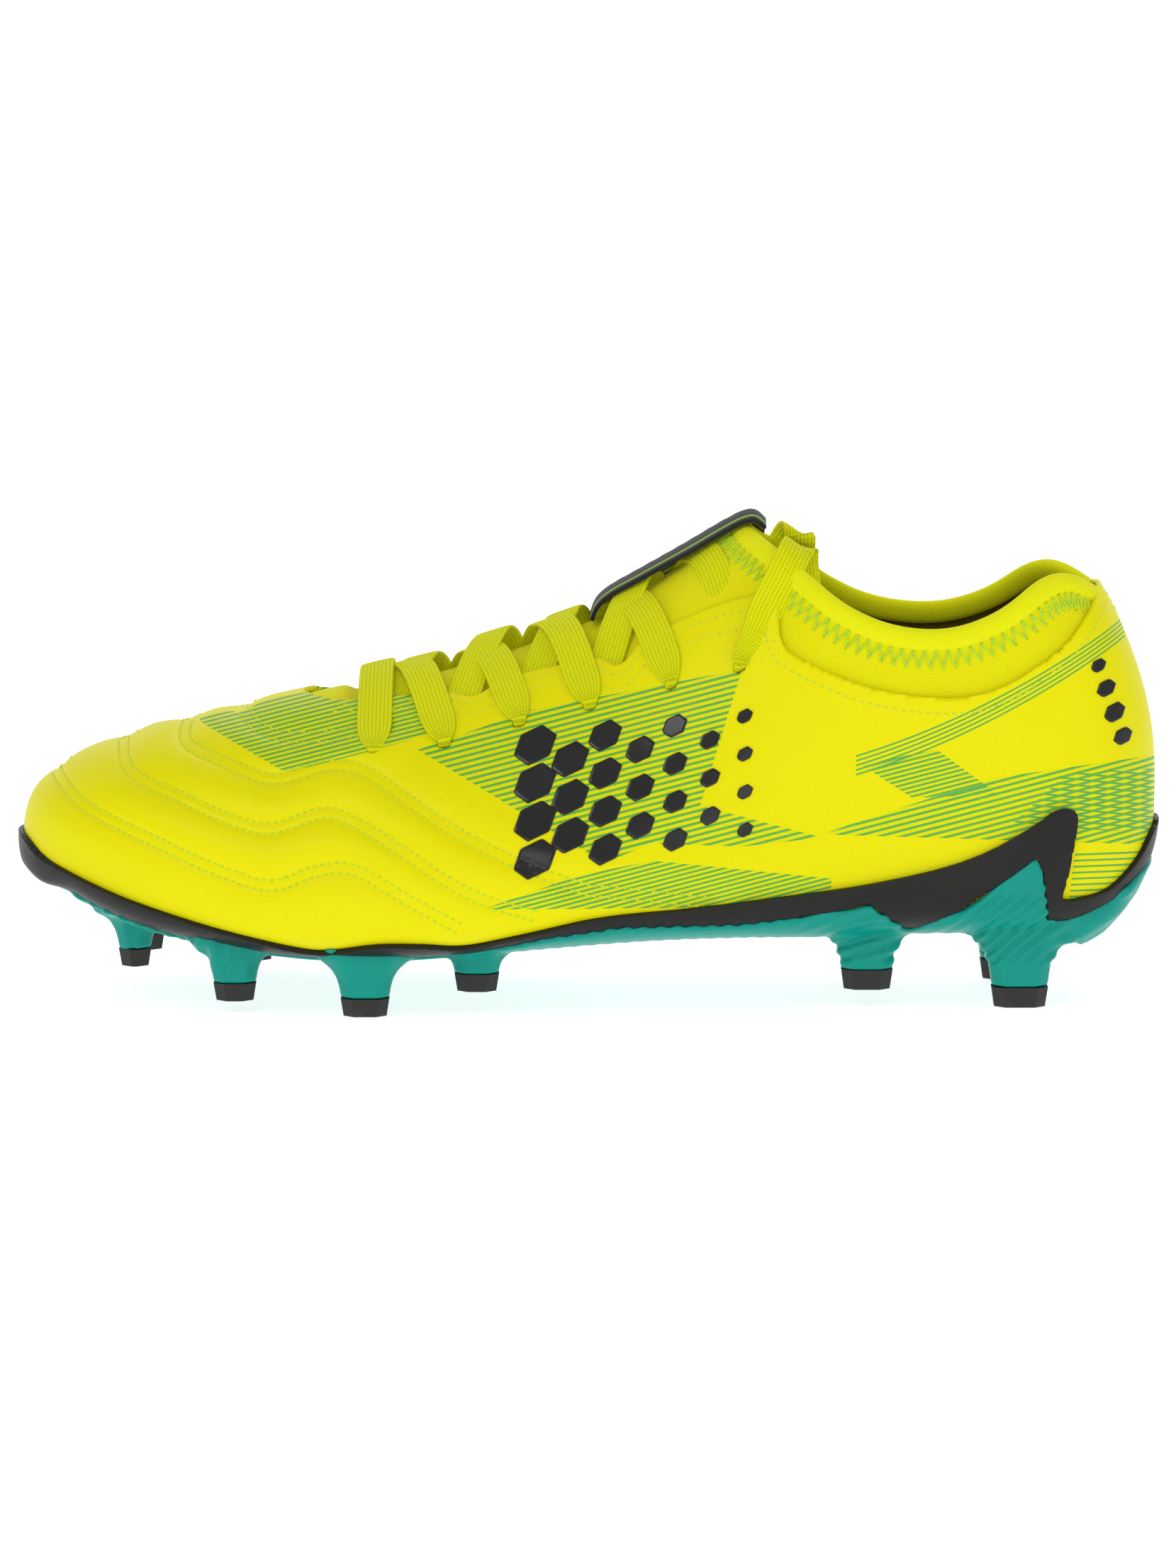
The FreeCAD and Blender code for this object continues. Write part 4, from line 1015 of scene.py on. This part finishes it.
def top_loop(obj, count=240):
    """The open edge round the collar, evenly spaced round it, in millimetres."""
    bm = bmesh.new()
    bm.from_mesh(obj.data)
    edge = {v for e in bm.edges if e.is_boundary for v in e.verts if v.co.z > 0.075}
    points = np.array([v.co for v in edge]) / MM
    bm.free()
    turn = np.arctan2(points[:, 1] / 30.0, (points[:, 0] - 82.0) / 45.0)
    order = np.argsort(turn)
    turn, points = turn[order], points[order]
    turn = np.r_[turn[-12:] - 2 * math.pi, turn, turn[:12] + 2 * math.pi]
    points = np.vstack([points[-12:], points, points[:12]])
    at = np.linspace(-math.pi, math.pi, count, endpoint=False)
    weight = np.exp(-((at[:, None] - turn[None, :]) / 0.03) ** 2) + 1e-12
    return (weight @ points) / weight.sum(axis=1, keepdims=True)


def smooth_loop(points, step, rounds=6):
    """A closed loop with even, smoothed spacing."""
    loop = resample(np.vstack([points, points[:1]]), step)[:-1]
    for _ in range(rounds):
        loop = 0.5 * loop + 0.25 * (np.roll(loop, 1, 0) + np.roll(loop, -1, 0))
    return loop


bootee_tree, rim_points = make_bootee()
rim_loop = smooth_loop(rim_points, 1.4)


def rim_frames():
    """Outward and downward directions round the collar's edge."""
    ahead = np.roll(rim_loop, -1, 0) - np.roll(rim_loop, 1, 0)
    ahead /= np.linalg.norm(ahead, axis=1, keepdims=True)
    _, normals = drop_on(bootee_tree, rim_loop)
    for _ in range(12):
        normals = 0.5 * normals + 0.25 * (np.roll(normals, 1, 0) + np.roll(normals, -1, 0))
    normals -= ahead * np.sum(normals * ahead, axis=1, keepdims=True)
    normals /= np.linalg.norm(normals, axis=1, keepdims=True)
    down = np.cross(ahead, normals)
    down /= np.linalg.norm(down, axis=1, keepdims=True)
    if np.mean(down[:, 2]) > 0:
        down = -down
    return normals, down


# The roll's half thickness and half height, and how far it sits in and down from the edge.
ROLL_THICK, ROLL_TALL, ROLL_IN, ROLL_DOWN = 1.95, 2.9, 0.8, 0.6


def make_binding():
    """The padded roll round the collar, folded over the edge."""
    out, down = rim_frames()
    rings = []
    for p, n, d in zip(rim_loop, out, down):
        ring = []
        for a in np.linspace(0, 2 * math.pi, 28, endpoint=False):
            c, s = math.cos(a), math.sin(a)
            across = ROLL_THICK * np.sign(c) * abs(c) ** 0.85
            along = ROLL_TALL * np.sign(s) * abs(s) ** 0.9
            ring.append(p + n * (across - ROLL_IN) + d * (along + ROLL_DOWN))
        rings.append(np.array(ring))
    verts, faces = sweep(rings, closed=True)
    obj = new_object("collar_binding", verts, faces)
    recalc(obj)
    dress(obj, knit("binding_yellow", srgb(234, 236, 14), 0.45))
    ride(obj, "collar_binding", slot="binding_yellow")


# The zigzag's half pitch, how far it lies below the edge and how far it swings.
ZIGZAG_STEP, ZIGZAG_DROP, ZIGZAG_SWING = 1.3, 5.5, 2.3


def make_zigzag():
    """The zigzag seam under the roll, as one closed thread."""
    out, down = rim_frames()
    base = np.vstack([rim_loop, rim_loop[:1]])
    extra = np.vstack([np.hstack([out, down]), np.hstack([out[:1], down[:1]])])
    fine = resample(np.hstack([base, extra]), ZIGZAG_STEP)
    count = len(fine) // 2 * 2
    fine = fine[:count]
    swing = np.where(np.arange(count) % 2 == 0, -ZIGZAG_SWING, ZIGZAG_SWING)
    points = fine[:, :3] + fine[:, 6:9] * (ZIGZAG_DROP + swing)[:, None]
    dense = resample(np.vstack([points, points[:1]]), 0.6)[:-1]
    places, _ = drop_on(bootee_tree, dense, 0.22)
    verts, faces = thread(places, 0.27, closed=True)
    obj = new_object("collar_zigzag", verts, faces)
    dress(obj, thread_material("thread_zigzag", srgb(206, 240, 44)))
    return ride(obj, slot="binding_yellow")


make_binding()
make_zigzag()


# ---------------------------------------------------------------- sole: sidewall, plate, studs
def toe_bumper(obj):
    """Carries the band's lower edge further down round the tip of the toe."""
    line = np.array(BITE_LINE[:8], float)
    for v in obj.data.vertices:
        x, z = v.co.x / MM, v.co.z / MM
        below = min(max((np.interp(x, line[:, 0], line[:, 1]) - z) / 4.0, 0.0), 1.0)
        v.co.z -= 3.2 * MM * float(ease((-128.0 - x) / 11.0)) * below


def make_sidewall():
    outline = list(map(tuple, rounded(BITE_LINE, 6))) + plate_line()[::-1]
    polygon = side_view_polygon(outline)
    obj = skin("outsole_sidewall", 0.15, [lambda p: -polygon(p)], step=0.7, reach=1.97)
    thicken(obj, 1.3, outward=True)
    mod = obj.modifiers.new("round", "BEVEL")
    mod.width, mod.segments, mod.limit_method, mod.angle_limit = 0.3 * MM, 2, "ANGLE", math.radians(50)
    apply_modifiers(obj)
    toe_bumper(obj)
    dress(obj, black_gloss("black_shell", srgb(36, 35, 34), 0.4))
    return ride(obj, "outsole_sidewall", slot="black_shell")


make_sidewall()


def octagon(x, y, z, length, width, corner):
    """A level rectangle with cut corners."""
    a, b = length / 2, width / 2
    around = [(a - corner, b), (corner - a, b), (-a, b - corner), (-a, corner - b),
              (corner - a, -b), (a - corner, -b), (a, corner - b), (a, b - corner)]
    return np.array([(x + px, y + py, z) for px, py in around])


def heel_ribs(p):
    """Fine ribs that fan over the plate's sides and flow down into the studs."""
    x, y, z = p[:, 0], p[:, 1], p[:, 2]
    heel = np.clip((x - 48.0) / 12.0, 0, 1) * np.clip((34.0 - z) / 6.0, 0, 1)
    flow = np.sin((z * 0.9 - x * 0.55 + 3.0 * np.sin(x / 11.0)) * 2 * np.pi / 3.1)
    waist = np.clip((52.0 - x) / 8.0, 0, 1) * np.clip((x + 26.0) / 8.0, 0, 1)
    bars = np.sin(x * 2 * np.pi / 4.2)
    toe = np.clip((-84.0 - x) / 8.0, 0, 1)
    sides = np.clip((np.abs(y - 3.0) - 18.0) / 6.0, 0, 1)
    return (0.42 * heel * flow + 0.36 * waist * bars + 0.5 * toe * np.sin(x * 2 * np.pi / 3.9)) * sides


def underside_relief(p):
    """Under the foot: a raised shank down the middle and soft chevrons across the ball."""
    x, y = p[:, 0], p[:, 1] - 3.0
    shank = np.exp(-(y / 7.0) ** 2) * np.clip((62.0 - x) / 14.0, 0, 1) * np.clip((x + 34.0) / 14.0, 0, 1)
    ball = np.clip((-20.0 - x) / 10.0, 0, 1) * np.clip((30.0 - np.abs(y)) / 6.0, 0, 1)
    chevrons = np.sin((x + np.abs(y) * 0.6) * 2 * np.pi / 9.0)
    heel = np.clip((x - 62.0) / 10.0, 0, 1) * np.clip((18.0 - np.abs(y)) / 5.0, 0, 1)
    bars = np.sin((x - np.abs(y) * 0.5) * 2 * np.pi / 8.0)
    return 0.9 * shank + 0.35 * ball * chevrons + 0.35 * heel * bars


def heel_cup(p, n):
    """How much lower the plate's outside sits behind the rear studs."""
    depth = np.interp(p[:, 0], (115.0, 119.0, 123.0, 129.0, 136.0, 141.0), (0.0, 2.0, 4.3, 3.8, 1.6, 0.0))
    edge = np.interp(p[:, 0], (114.0, 123.0, 130.0, 137.0), (21.0, 24.2, 27.2, 33.0))
    low = np.clip((edge - p[:, 2]) / 5.0, 0, 1)
    clear_of_studs = np.clip((p[:, 2] - 10.0) / 9.0, 0, 1)
    return depth * low * clear_of_studs * np.clip(0.5 - n[:, 2] * 2.0, 0, 1)


# How far up a stem each of its levels is, and its share of the flare there.
STEM_LEVELS = ((0.0, 0.0), (0.2, 0.05), (0.36, 0.14), (0.5, 0.3), (0.62, 0.55), (0.72, 0.82), (1.0, 1.1))
STEM_OVERLAP, STEM_CENTRE_Y, STEM_CORNER = 4.5, 3.0, 2.6
FLARE_ALONG, FLARE_ACROSS = 7.5, 3.6


def stem_levels(x, y, clear, length, width, tip):
    """The outlines of one moulded stem, flaring more along the boot than across it."""
    base, top = clear + tip, float(section(x)[3]) + STEM_OVERLAP
    inward = 1.0 if y < STEM_CENTRE_Y else -1.0
    levels = []
    for rise, share in STEM_LEVELS:
        along, across = FLARE_ALONG * share, FLARE_ACROSS * share
        levels.append(octagon(x, y + inward * across * 0.7, base + rise * (top - base),
                              length + 2 * along, width + 2 * across, STEM_CORNER + 0.7 * across))
    return levels


def plate_with_stems():
    """The plate's sheet and its twelve stems, run together into one soft moulding."""
    line = plate_line()
    polygon = side_view_polygon(line + [(line[-1][0], -60.0), (line[0][0], -60.0)])
    obj = skin("outsole_plate", 0.25, [lambda p: -polygon(p)], step=0.9, reach=2.0)
    thicken(obj, 1.9, outward=True)
    bm = bmesh.new()
    bm.from_mesh(obj.data)
    for stud in STUDS:
        verts, faces = sweep(stem_levels(*stud))
        ids = [bm.verts.new(Vector(v) * MM) for v in verts]
        for f in faces:
            bm.faces.new([ids[k] for k in f])
    bmesh.ops.recalc_face_normals(bm, faces=bm.faces)
    bm.to_mesh(obj.data)
    bm.free()
    mod = obj.modifiers.new("one", "REMESH")
    mod.mode, mod.voxel_size = "VOXEL", 0.62 * MM
    apply_modifiers(obj)
    soften = obj.modifiers.new("soft", "SMOOTH")
    soften.factor, soften.iterations = 0.5, 8
    apply_modifiers(obj)
    return obj


def make_plate():
    obj = plate_with_stems()
    mesh = obj.data
    co = np.empty(len(mesh.vertices) * 3)
    mesh.vertices.foreach_get("co", co)
    normal = np.empty(len(mesh.vertices) * 3)
    mesh.vertices.foreach_get("normal", normal)
    p, n = co.reshape(-1, 3) / MM, normal.reshape(-1, 3)
    ceiling = np.where(p[:, 2] < 45.0, under_surface(p[:, 0], p[:, 1], 0.22), 999.0)
    p[:, 2] = np.minimum(p[:, 2], ceiling)
    down = np.clip(-n[:, 2] * 1.6 - 0.5, 0, 1)
    inner = body_inside(p)
    rise = heel_ribs(p) * np.clip(1.2 - down, 0, 1) + underside_relief(p) * down
    rise *= np.clip((p[:, 2] - 9.5) / 3.0, 0, 1) * (1 - inner)
    p = p + n * rise[:, None]
    p[:, 2] -= heel_cup(p, n) * (1 - inner)
    mesh.vertices.foreach_set("co", (p * MM).ravel())
    mesh.polygons.foreach_set("use_smooth", [True] * len(mesh.polygons))
    mesh.update()
    dress(obj, teal_plate())
    return ride(obj, "outsole_plate", slot="plate_teal")


def under_surface(x, y, grow):
    """The height of the body's underside over (x, y)."""
    lateral, medial, widest, floor, _, ridge_y, _, _ = section(np.clip(x, -142.0, 142.0), grow)
    side = np.where(y < ridge_y, lateral, medial)
    share = np.clip(np.abs(y - ridge_y) / np.maximum(np.abs(side - ridge_y), 1e-6), 0, 1)
    s = solve_w(lambda s: (1 - s) ** 3 + 3 * s * (1 - s) ** 2 + 3 * s * s * (1 - s) * LOWER_FULLNESS > share,
                np.zeros(x.shape), np.ones(x.shape), 24)
    b0, b1 = (1 - s) ** 3, 3 * s * (1 - s) ** 2
    return widest * b0 + (widest + LOWER_RISE * (floor - widest)) * b1 + floor * (1 - b0 - b1)


def body_inside(p):
    """1 for points on the plate's inner face, which stay as they are."""
    floor = section(np.clip(p[:, 0], -141.0, 141.0))[3]
    return (p[:, 2] > floor - 0.9) & (np.abs(p[:, 1] - 3.0) < 20.0)


make_plate()


# ---------------------------------------------------------------- lace
LACE_WIDTH, LACE_IN_HOLE, LACE_WALL = 8.8, 3.2, 1.2
LACE_OVER, LACE_UNDER = 0.85, -2.6
# A tucked lace end after the last eyelet: x, z, and how far out of the outer's surface.
TAIL_WALL = [(38.2, 88.4, 0.75), (41.0, 93.0, 0.75), (44.0, 99.0, 0.75), (47.2, 105.0, 0.8),
             (49.6, 109.6, 0.8), (51.4, 112.9, -0.6), (52.4, 113.8, -3.4), (53.2, 112.0, -6.0),
             (53.6, 107.5, -6.4), (54.2, 98.0, -6.6), (55.0, 84.0, -6.8), (55.4, 70.0, -7.0),
             (55.4, 56.0, -7.4), (55.0, 45.0, -8.6)]
# Its last stretch along the footbed: x, y, and how far above the boot's floor.
TAIL_FLOOR = [(52.5, 21.0, 14.6), (48.0, 19.5, 12.2), (40.0, 19.0, 11.0), (26.0, 19.5, 10.6),
              (8.0, 20.5, 10.6), (-10.0, 21.5, 10.9), (-26.0, 22.0, 10.9)]
TAIL_LIFT_MEDIAL = 1.6


def lace_run(start, end, lift_start, crest, lift_end):
    """Rows of the lace from one eyelet to another, over the tongue."""
    s = np.array([0.0, 0.035, 0.09, 0.16, 0.25, 0.35, 0.43, 0.5, 0.57, 0.65, 0.75, 0.84, 0.91, 0.965, 1.0])
    t = np.clip((s - 0.18) / 0.64, 0, 1)
    ease = 3 * t * t - 2 * t ** 3
    lift = lift_start * (1 - ease) + lift_end * ease + crest * 4 * t * (1 - t)
    width = LACE_IN_HOLE + (LACE_WIDTH - LACE_IN_HOLE) * np.minimum(1.0, np.minimum(s, 1 - s) / 0.10) ** 0.5
    x, y = start[0] + (end[0] - start[0]) * s, start[1] + (end[1] - start[1]) * s
    points = above_plan(x, y, lift)
    return [(p, a, w) for p, a, w in zip(points, unit(along_wall(x, y)), width)]


def unit(vectors):
    return vectors / np.maximum(np.linalg.norm(vectors, axis=-1, keepdims=True), 1e-9)


def through_eyelet(eyelet):
    ahead = unit(along_wall(eyelet[0], eyelet[1]))
    return [(above_plan(eyelet[0], eyelet[1], depth), ahead, LACE_IN_HOLE) for depth in (-0.2, -0.9, -1.6)]


def lace_tail(side):
    lift = 0.0 if side < 0 else TAIL_LIFT_MEDIAL
    rows = []
    for i, (x, z, out) in enumerate(TAIL_WALL):
        width = min(LACE_WIDTH, LACE_IN_HOLE + 1.8 * (i + 1))
        rows.append((at_height(x, z + lift, side, out), np.array([1.0, 0.0, -0.7]), width))
    turns = ((1.0, 0.4), (0.6, 1.0), (0.2, 1.0))
    for i, (x, y, rise) in enumerate(TAIL_FLOOR):
        a, b = turns[i] if i < len(turns) else (0.0, 1.0)
        place = np.array([x, y * side, float(section(x)[3]) + rise])
        width = LACE_WIDTH if i < len(TAIL_FLOOR) - 1 else LACE_IN_HOLE
        rows.append((place, np.array([a, b * side, 0.0]), width))
    return rows[::-1]


def lace_half(side, crest):
    """Half the lace, from its tucked end down the crossings to the first pair of eyelets."""
    places = {-1: eyelet_places(-1), 1: eyelet_places(1)}
    last = len(EYELETS_X) - 1
    top = places[side][last]
    out_of_hole = (above_plan(top[0], top[1], LACE_OVER), unit(along_wall(top[0], top[1])), LACE_IN_HOLE)
    rows = lace_tail(side) + [out_of_hole] + through_eyelet(top)
    for k in range(last, 0, -1):
        lift = LACE_UNDER if k == last else LACE_OVER
        rows += lace_run(places[side][k], places[-side][k - 1], lift, crest, LACE_UNDER)
        rows += through_eyelet(places[-side][k - 1])[::-1]
        side = -side
    return rows


def lace_rows():
    first, second = lace_half(-1, 2.6), lace_half(1, 1.2)
    bar = lace_run(eyelet_places(1)[0], eyelet_places(-1)[0], LACE_OVER, 1.6, LACE_OVER)
    return first + bar + second[::-1]


def ribbon(name, rows, wall, step):
    """A soft flat ribbon with rounded edges along rows of (point, direction of its width, width)."""
    table = np.array([np.r_[p, a, w] for p, a, w in rows])
    keep = np.r_[True, np.linalg.norm(np.diff(table[:, :3], axis=0), axis=1) > 0.3]
    table = table[keep]
    fine = resample(rounded(table, 6), step)
    ahead = np.gradient(fine[:, :3], axis=0)
    ahead /= np.linalg.norm(ahead, axis=1, keepdims=True)
    up = np.cross(ahead, fine[:, 3:6])
    up /= np.maximum(np.linalg.norm(up, axis=1, keepdims=True), 1e-9)
    wide = np.cross(up, ahead)
    lengths = np.r_[0.0, np.cumsum(np.linalg.norm(np.diff(fine[:, :3], axis=0), axis=1))]
    around = 20
    rings, along, across = [], [], []
    for p, u, c, w, s in zip(fine[:, :3], up, wide, fine[:, 6], lengths):
        thick = wall * (1.0 + 0.9 * max(0.0, 1.0 - w / LACE_WIDTH))
        for k in range(around):
            a = 2 * math.pi * k / around
            px = math.copysign(abs(math.cos(a)) ** 0.6, math.cos(a))
            pz = math.copysign(abs(math.sin(a)) ** 0.7, math.sin(a))
            rings.append(p + c * (w / 2) * px + u * (thick / 2) * pz)
            along.append(s)
            across.append(0.5 + 0.5 * px)
    grid = np.array(rings).reshape(len(fine), around, 3)
    verts, faces = sweep(list(grid))
    obj = new_object(name, verts, faces)
    tape_measure(obj, along, across)
    recalc(obj)
    return obj, lengths[-1]


def make_lace():
    obj, length = ribbon("lace", lace_rows(), LACE_WALL, 1.0)
    dress(obj, flat_weave("lace_yellow", srgb(228, 232, 2), 9.0))
    print(f"lace length {length:.0f} mm")
    return ride(obj, "lace", slot="lace_yellow")


make_lace()


# ---------------------------------------------------------------- label
LABEL_LINE = [(0.6, 96.0), (2.0, 99.4), (5.5, 102.6), (13.0, 106.9), (24.0, 113.2), (33.0, 118.6),
              (38.6, 121.5), (42.0, 121.9), (44.6, 119.8)]
LABEL_WIDTH, LABEL_SHIFT, LABEL_WALL = 17.0, 0.8, 0.9


def make_label():
    """A woven tape that lies over the upper crossings and follows the instep's round top."""
    line = resample(rounded(LABEL_LINE, 6), 0.7)
    lengths = np.r_[0.0, np.cumsum(np.linalg.norm(np.diff(line, axis=0), axis=1))]
    offsets = np.linspace(-LABEL_WIDTH / 2, LABEL_WIDTH / 2, 23)
    x, off = np.meshgrid(line[:, 0], offsets, indexing="ij")
    ridge, ridge_y = section(x)[4:6]
    points = above_plan(x, ridge_y + off + LABEL_SHIFT, 0.0)
    points[..., 2] += line[:, 1][:, None] - ridge
    obj = new_object("tongue_label", points.reshape(-1, 3), grid_faces(x.shape))
    tape_measure(obj, np.repeat(lengths, len(offsets)), np.tile(np.linspace(0, 1, len(offsets)), len(line)))
    recalc(obj)
    thicken(obj, LABEL_WALL)
    dress(obj, label_material())
    return ride(obj, "tongue_label", slot="label_black")


def label_material():
    """Black woven tape with a plain stripe near each edge and a row of small blocks."""
    paint = Paint("label_black", srgb(26, 26, 26), 0.75, Sheen_Weight=0.3)
    along, across = paint.attribute("along"), paint.attribute("across")
    weave = (along * (2 * math.pi / 0.7)).sin() * (across * (math.pi * 30)).sin()
    paint.bump(weave, 0.09)
    off_middle = (across - 0.5).abs()
    stripe = off_middle.above(0.36) * off_middle.below(0.41)
    blocks = (along / 4.2).fract().below(0.5) * off_middle.below(0.10) * along.above(9.0) * along.below(46.0)
    paint.tint(stripe, srgb(150, 196, 40))
    paint.tint(blocks, srgb(214, 222, 200))
    return paint.mat


make_label()


# ---------------------------------------------------------------- marks
def hexagon(cx, cz, radius, lean=0.35):
    """A six-sided outline that leans towards the heel."""
    out = []
    for k in range(6):
        a = math.radians(60 * k + 30)
        px, pz = radius * math.cos(a), radius * math.sin(a)
        out.append((cx + px + lean * pz, cz + pz))
    return out


# The cells on the heel, seen from the side: x, height and radius.
HEEL_MARK_CELLS = [(132.6, 69.5, 2.4), (130.4, 75.4, 2.7), (128.2, 81.4, 2.4), (126.2, 87.0, 1.9)]


def side_mark_cells():
    """A plain honeycomb that fades towards the heel."""
    cells = []
    for column in range(7):
        rows = 3 if column % 2 else 4
        for row in range(rows):
            offset = row - (rows - 1) / 2
            cells.append((-13.0 + 8.6 * column, 53.0 + 1.2 * column + 9.4 * offset, 5.1 - 0.52 * column))
    return cells


def film_cell(outline, side, verts, faces, rise=0.35):
    """One raised film shape: a domed top on the surface with rounded shoulders."""
    loop = resample(np.vstack([outline, outline[:1]]), 0.8)[:-1]
    centre = loop.mean(axis=0)
    first = len(verts)
    levels = ((1.0, -0.15), (1.0, rise * 0.7), (0.955, rise), (0.8, rise), (0.55, rise), (0.28, rise))
    for share, lift in levels:
        ring = centre + (loop - centre) * share
        verts.extend(from_side(upper_tree, ring, side, lift)[0])
    verts.extend(from_side(upper_tree, [centre], side, rise)[0])
    count = len(loop)
    for level in range(len(levels) - 1):
        for k in range(count):
            a, b = first + level * count + k, first + level * count + (k + 1) % count
            faces.append((a, b, b + count, a + count))
    last = first + (len(levels) - 1) * count
    for k in range(count):
        faces.append((last + k, last + (k + 1) % count, first + len(levels) * count))


def make_film(side, name, cells):
    verts, faces = [], []
    for cx, cz, radius in cells:
        film_cell(np.array(hexagon(cx, cz, radius)), side, verts, faces)
    obj = new_object(name, verts, faces)
    recalc(obj)
    # The film keeps the plain black that the frame brings.
    dress(obj, bpy.data.materials["film_black"])
    ride(obj, name, slot="film_black")


for mark_side, mark_name in ((-1, "lateral"), (1, "medial")):
    make_film(mark_side, "side_mark_" + mark_name, side_mark_cells())
    make_film(mark_side, "heel_mark_" + mark_name, HEEL_MARK_CELLS)


# ---------------------------------------------------------------- carried-over nodes
def dress_nodes():
    """Materials for the nodes that are shown as the CAD has them."""
    tip, stiff = stud_black(), cloth_plain("stiffener", srgb(222, 220, 208), 1.6)
    backing = cloth_plain("backing", srgb(226, 226, 40), 0.8)
    aglet = black_gloss("aglet_clear", srgb(214, 216, 120), 0.2, 0.01)
    dressed = {
        # Painted shade: the heel lining is the yellow knit darkened to olive for the shaded inside of the
        # collar, and the foot lining takes the shaded inner knit.
        "heel_lining": knit("lining", srgb(122, 110, 6), 0.8, 0.0),
        "foot_lining": bpy.data.materials["knit_inside_shaded"],
        "footbed": cloth_plain("footbed_foam", srgb(40, 42, 42), 0.9),
        "insole_board": cloth_plain("board", srgb(196, 190, 168), 1.2),
        "toe_puff": stiff, "heel_counter": stiff,
        "eyestay_backing_lateral": backing, "eyestay_backing_medial": backing,
        "aglet_lateral": aglet, "aglet_medial": aglet,
    }
    dressed.update({name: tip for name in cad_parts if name.startswith("stud_tip_")})
    for name, material in dressed.items():
        dress(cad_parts[name], material)


dress_nodes()


# ---------------------------------------------------------------- stage
# The paper floor in metres: half its width, where it starts to turn up, and the turn's radius.
FLOOR_HALF, FLOOR_BACK, FLOOR_TURN = 9.0, 3.0, 3.0
FLOOR_GREY, FLOOR_LIGHT, WORLD_LIGHT = 0.4, 0.82, 0.52
# Soft lamps: name, place, size and power.
LAMPS = (("key", (-0.7, -1.2, 1.3), 0.9, 5.8), ("fill", (1.2, -0.9, 0.7), 1.0, 2.4),
         ("low", (0.0, -1.5, 0.16), 0.8, 2.2), ("back", (0.3, 1.2, 1.1), 1.0, 2.6))


def make_stage():
    """A sheet of pale paper that sweeps up behind the boot, and an even pale sky."""
    mesh = bpy.data.meshes.new("floor")
    profile = [(-FLOOR_HALF, 0.0), (FLOOR_BACK, 0.0)]
    for a in np.linspace(0.05, math.pi / 2, 24):
        profile.append((FLOOR_BACK + FLOOR_TURN * math.sin(a), FLOOR_TURN * (1 - math.cos(a))))
    profile.append((FLOOR_BACK + FLOOR_TURN, FLOOR_HALF))
    verts = [(s * FLOOR_HALF, y, z) for y, z in profile for s in (-1, 1)]
    mesh.from_pydata(verts, [], [(2 * k, 2 * k + 1, 2 * k + 3, 2 * k + 2) for k in range(len(profile) - 1)])
    mesh.polygons.foreach_set("use_smooth", [True] * len(mesh.polygons))
    floor = bpy.data.objects.new("floor", mesh)
    floor.location.z = -0.0002
    bpy.context.scene.collection.objects.link(floor)
    mat = bpy.data.materials.new("floor")
    mat.use_nodes = True
    paper = mat.node_tree.nodes["Principled BSDF"].inputs
    paper["Base Color"].default_value = (FLOOR_GREY, FLOOR_GREY, FLOOR_GREY, 1)
    paper["Roughness"].default_value = 0.9
    paper["Emission Color"].default_value = (1, 1, 1, 1)
    paper["Emission Strength"].default_value = FLOOR_LIGHT
    mesh.materials.append(mat)
    world = bpy.data.worlds.new("studio")
    bpy.context.scene.world = world
    world.use_nodes = True
    world.node_tree.nodes["Background"].inputs[0].default_value = (1.0, 1.0, 1.0, 1)
    world.node_tree.nodes["Background"].inputs[1].default_value = WORLD_LIGHT


def make_light(name, location, size, power):
    """A round soft lamp that faces the boot."""
    data = bpy.data.lights.new(name, "AREA")
    data.shape, data.size, data.energy = "DISK", size, power
    light = bpy.data.objects.new(name, data)
    light.location = location
    light.rotation_euler = (Vector((0, 0, 0.05)) - Vector(location)).to_track_quat("-Z", "Y").to_euler()
    bpy.context.scene.collection.objects.link(light)


make_stage()
for lamp in LAMPS:
    make_light(*lamp)
bpy.context.scene.view_settings.view_transform = "Standard"
bpy.context.scene.view_settings.gamma = 0.88
